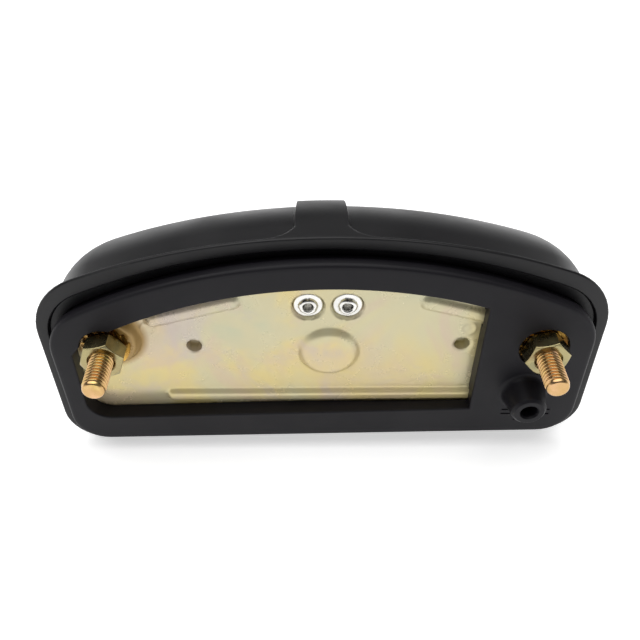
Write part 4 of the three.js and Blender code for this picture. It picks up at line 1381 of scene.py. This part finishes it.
def across(shape, side):
    """A shape drawn along +Y from the centre plane, turned onto a bulb's axis."""
    verts, faces = shape
    return turned_to(verts, (0, AXIS_Y, AXIS_Z), "+X" if side > 0 else "-X"), faces


def bulb_end(bulb, side, glass_radius, length):
    def turn(profile, radii=None, **keys):
        return across(lathe(rounded(profile, radii, 4) if radii else profile, **keys), side)

    # The socket: a drawn tube with a bottom and two bayonet slots.
    profile = rounded([(3, 3.7), (8.5, 3.7), (8.5, 20.4), (7.7, 20.4), (7.7, 4.7), (3, 4.7), (3, 3.7)],
                      [0, 0.8, 0.2, 0.2, 0.4, 0.2, 0], 4)
    socket = temp(*turn(profile[:-1], sides=72, closed=True))
    cutters = []
    for half in (1, -1):
        for x0, x1, y0, y1, z0, z1 in ((6, 10, 13.7, 19.3, -5.3, 2.1), (6, 10, 14.4, 22.4, -5.3, -2.5)):
            slot = box_mesh(x0 * half, x1 * half, y0, y1, z0 * half, z1 * half)
            cutters.append(temp(*across(slot, side)))
    carve(socket, cutters)
    finish_piece(socket, f"{bulb}_bayonet_socket", "lamp", f"{bulb}_bulb_socket", "socket_metal", 35)
    # The contact disc with its stem.
    disc = turn([(0, 2.4), (1.2, 2.4), (1.2, 7.9), (7.2, 7.9), (7.2, 8.9), (0, 8.9)],
                [0, 0.3, 0.3, 0.2, 0.2, 0])
    add(f"{bulb}_contact_disc", disc, f"{bulb}_contact", f"{bulb}_contact_plunger", "contact_phenolic")
    # The cap with its two pins and solder tip.
    cap = turn([(0, CAP_TIP), (1.6, CAP_TIP), (2.4, 9.9), (2.5, 10.2), (6.4, 10.2), (7.5, 11.2),
                (7.5, 24), (7.0, 24), (7.0, 13.4), (0, 13.4)],
               [0, 0.6, 0.3, 0.1, 0.4, 0.8, 0.15, 0.15, 0.2, 0], sides=64)
    cap = temp(*cap)
    pins = []
    for half in (1, -1):
        profile = rounded([(0, 6.5), (1, 6.5), (1, 8.9), (0, 8.9)], [0, 0, 0.25, 0], 3)
        verts, faces = lathe(profile, (0, 0, 0), "+X" if half > 0 else "-X", 24)
        verts = [(x, y + 17.4, z) for x, y, z in verts]
        pins.append(temp(*across((verts, faces), side)))
    carve(cap, pins, "UNION")
    finish_piece(cap, f"{bulb}_pinned_cap", f"{bulb}_bulb", f"{bulb}_bulb_cap", "cap_brass", 35)
    # The envelope: a neck that opens into a globe.
    skin = globe(glass_radius, length, 0) + globe(glass_radius, length, 0.7)[::-1]
    add(f"{bulb}_envelope", turn(skin, sides=64), f"{bulb}_bulb", f"{bulb}_bulb_glass", "bulb_glass", 70)
    filament(bulb, side, CAP_TIP + length - glass_radius)
    spring(bulb, side)


def globe(radius, length, inward):
    r = radius - inward
    middle = CAP_TIP + length - radius
    neck = 6.9 - inward
    flare = math.asin((neck + 0.6) / r)
    start = middle - r * math.cos(flare)
    points = [(neck, 24.3), (neck, start - 2.0), (neck + 0.12, start - 1.0), (neck + 0.6, start)]
    for i in range(1, 26):
        a = flare + (math.pi - flare) * i / 25
        points.append((r * math.sin(a) if i < 25 else 0.0, middle - r * math.cos(a)))
    return points


def filament(bulb, side, top):
    """Two supports from the mount with a fine coil between their hooks."""
    foot = CAP_TIP + 5
    path = [(-1.8, foot, 0), (-1.8, foot + 3, 0), (-1.8, top - 8, 0), (-2.3, top - 5, 0),
            (-2.9, top - 2, 0), (-2.7, top - 0.6, 0), (-2.2, top, 0)]
    coil = []
    turns, radius = 11, 0.32
    for i in range(turns * 12 + 1):
        t = i / (turns * 12)
        a = TAU * turns * t
        arch = 0.35 * math.sin(math.pi * t)
        coil.append((-2.0 + 4.0 * t, top + arch + radius * math.sin(a), radius * math.cos(a)))
    mirror = [(-x, y, z) for x, y, z in reversed(path)]
    points = path + coil + mirror
    thickness = [0.2] * (len(path) - 1) + [0.12] * (len(coil) + 2) + [0.2] * (len(mirror) - 1)
    add(f"{bulb}_coiled_filament", across(tube(points, thickness, 8), side), f"{bulb}_bulb",
        f"{bulb}_bulb_filament", "filament_tungsten", 60)


def spring(bulb, side):
    start, length, turns, radius = 5.2, 2.2, 3, 5.2
    path = []
    for i in range(turns * 36 + 1):
        t = i / (turns * 36)
        a = TAU * turns * t
        path.append((radius * math.cos(a), start + length * t, radius * math.sin(a)))
    add(f"{bulb}_coil_spring", across(tube(path, 0.4, 10), side), "lamp",
        f"{bulb}_contact_spring", "spring_steel", 60)


bulb_end("tail", 1, 9.0, 35.0)
bulb_end("brake", -1, 12.0, 45.0)

# ------------------------------------------------------------------ floor and light


FLOOR_HALF = 3  # metres
FLOOR_DROP = 0.00005  # below the lamp's lowest point
FLOOR_GLOW = 0.52
SKY = ((0.0, 1.0), (0.1, 0.85), (0.3, 0.22), (0.6, 0.1), (1.0, 0.6))  # height and brightness
LAMP_ENERGY = 2.2
LAMP_SPREAD = math.radians(75)
LAMP_DIRECTION = (-0.15, 0.15, -1)


def floor():
    mesh = bpy.data.meshes.new("floor")
    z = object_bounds()[0].z - FLOOR_DROP
    corners = [(-1, -1), (1, -1), (1, 1), (-1, 1)]
    mesh.from_pydata([(x * FLOOR_HALF, y * FLOOR_HALF, z) for x, y in corners], [], [(0, 1, 2, 3)])
    obj = bpy.data.objects.new("floor", mesh)
    bpy.context.scene.collection.objects.link(obj)
    n = Nodes("floor_white")
    n.set(Specular_IOR_Level=0.1)
    n.color(n.ramp(n.noise(3, 2), [(0.3, (0.93, 0.93, 0.93)), (0.7, (0.96, 0.96, 0.96))]))
    n.roughness(n.between(n.noise(20, 2), 0.7, 0.8))
    n.set(Emission_Color=(1, 1, 1, 1), Emission_Strength=FLOOR_GLOW)
    mesh.materials.append(n.material)
    obj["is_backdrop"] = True


def studio():
    """A pale studio: white below and round the horizon, darker above it, and a wide soft lamp."""
    world = bpy.data.worlds.new("studio")
    bpy.context.scene.world = world
    world.use_nodes = True
    tree = world.node_tree
    direction = tree.nodes.new("ShaderNodeTexCoord").outputs["Generated"]
    parts = tree.nodes.new("ShaderNodeSeparateXYZ")
    tree.links.new(direction, parts.inputs[0])
    ramp = tree.nodes.new("ShaderNodeValToRGB")
    fill_ramp(ramp.color_ramp, SKY)
    tree.links.new(parts.outputs["Z"], ramp.inputs["Fac"])
    tree.links.new(ramp.outputs["Color"], tree.nodes["Background"].inputs["Color"])
    tree.nodes["Background"].inputs["Strength"].default_value = 1.0
    data = bpy.data.lights.new("soft_lamp", "SUN")
    data.energy = LAMP_ENERGY
    data.angle = LAMP_SPREAD
    obj = bpy.data.objects.new("soft_lamp", data)
    bpy.context.scene.collection.objects.link(obj)
    obj.rotation_euler = Vector(LAMP_DIRECTION).to_track_quat("-Z", "Y").to_euler()
    bpy.context.scene.view_settings.view_transform = "Standard"


floor()
studio()

for name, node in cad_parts.items():
    if not node.hide_render:
        raise SystemExit(f"{name} is still shown as plain CAD")
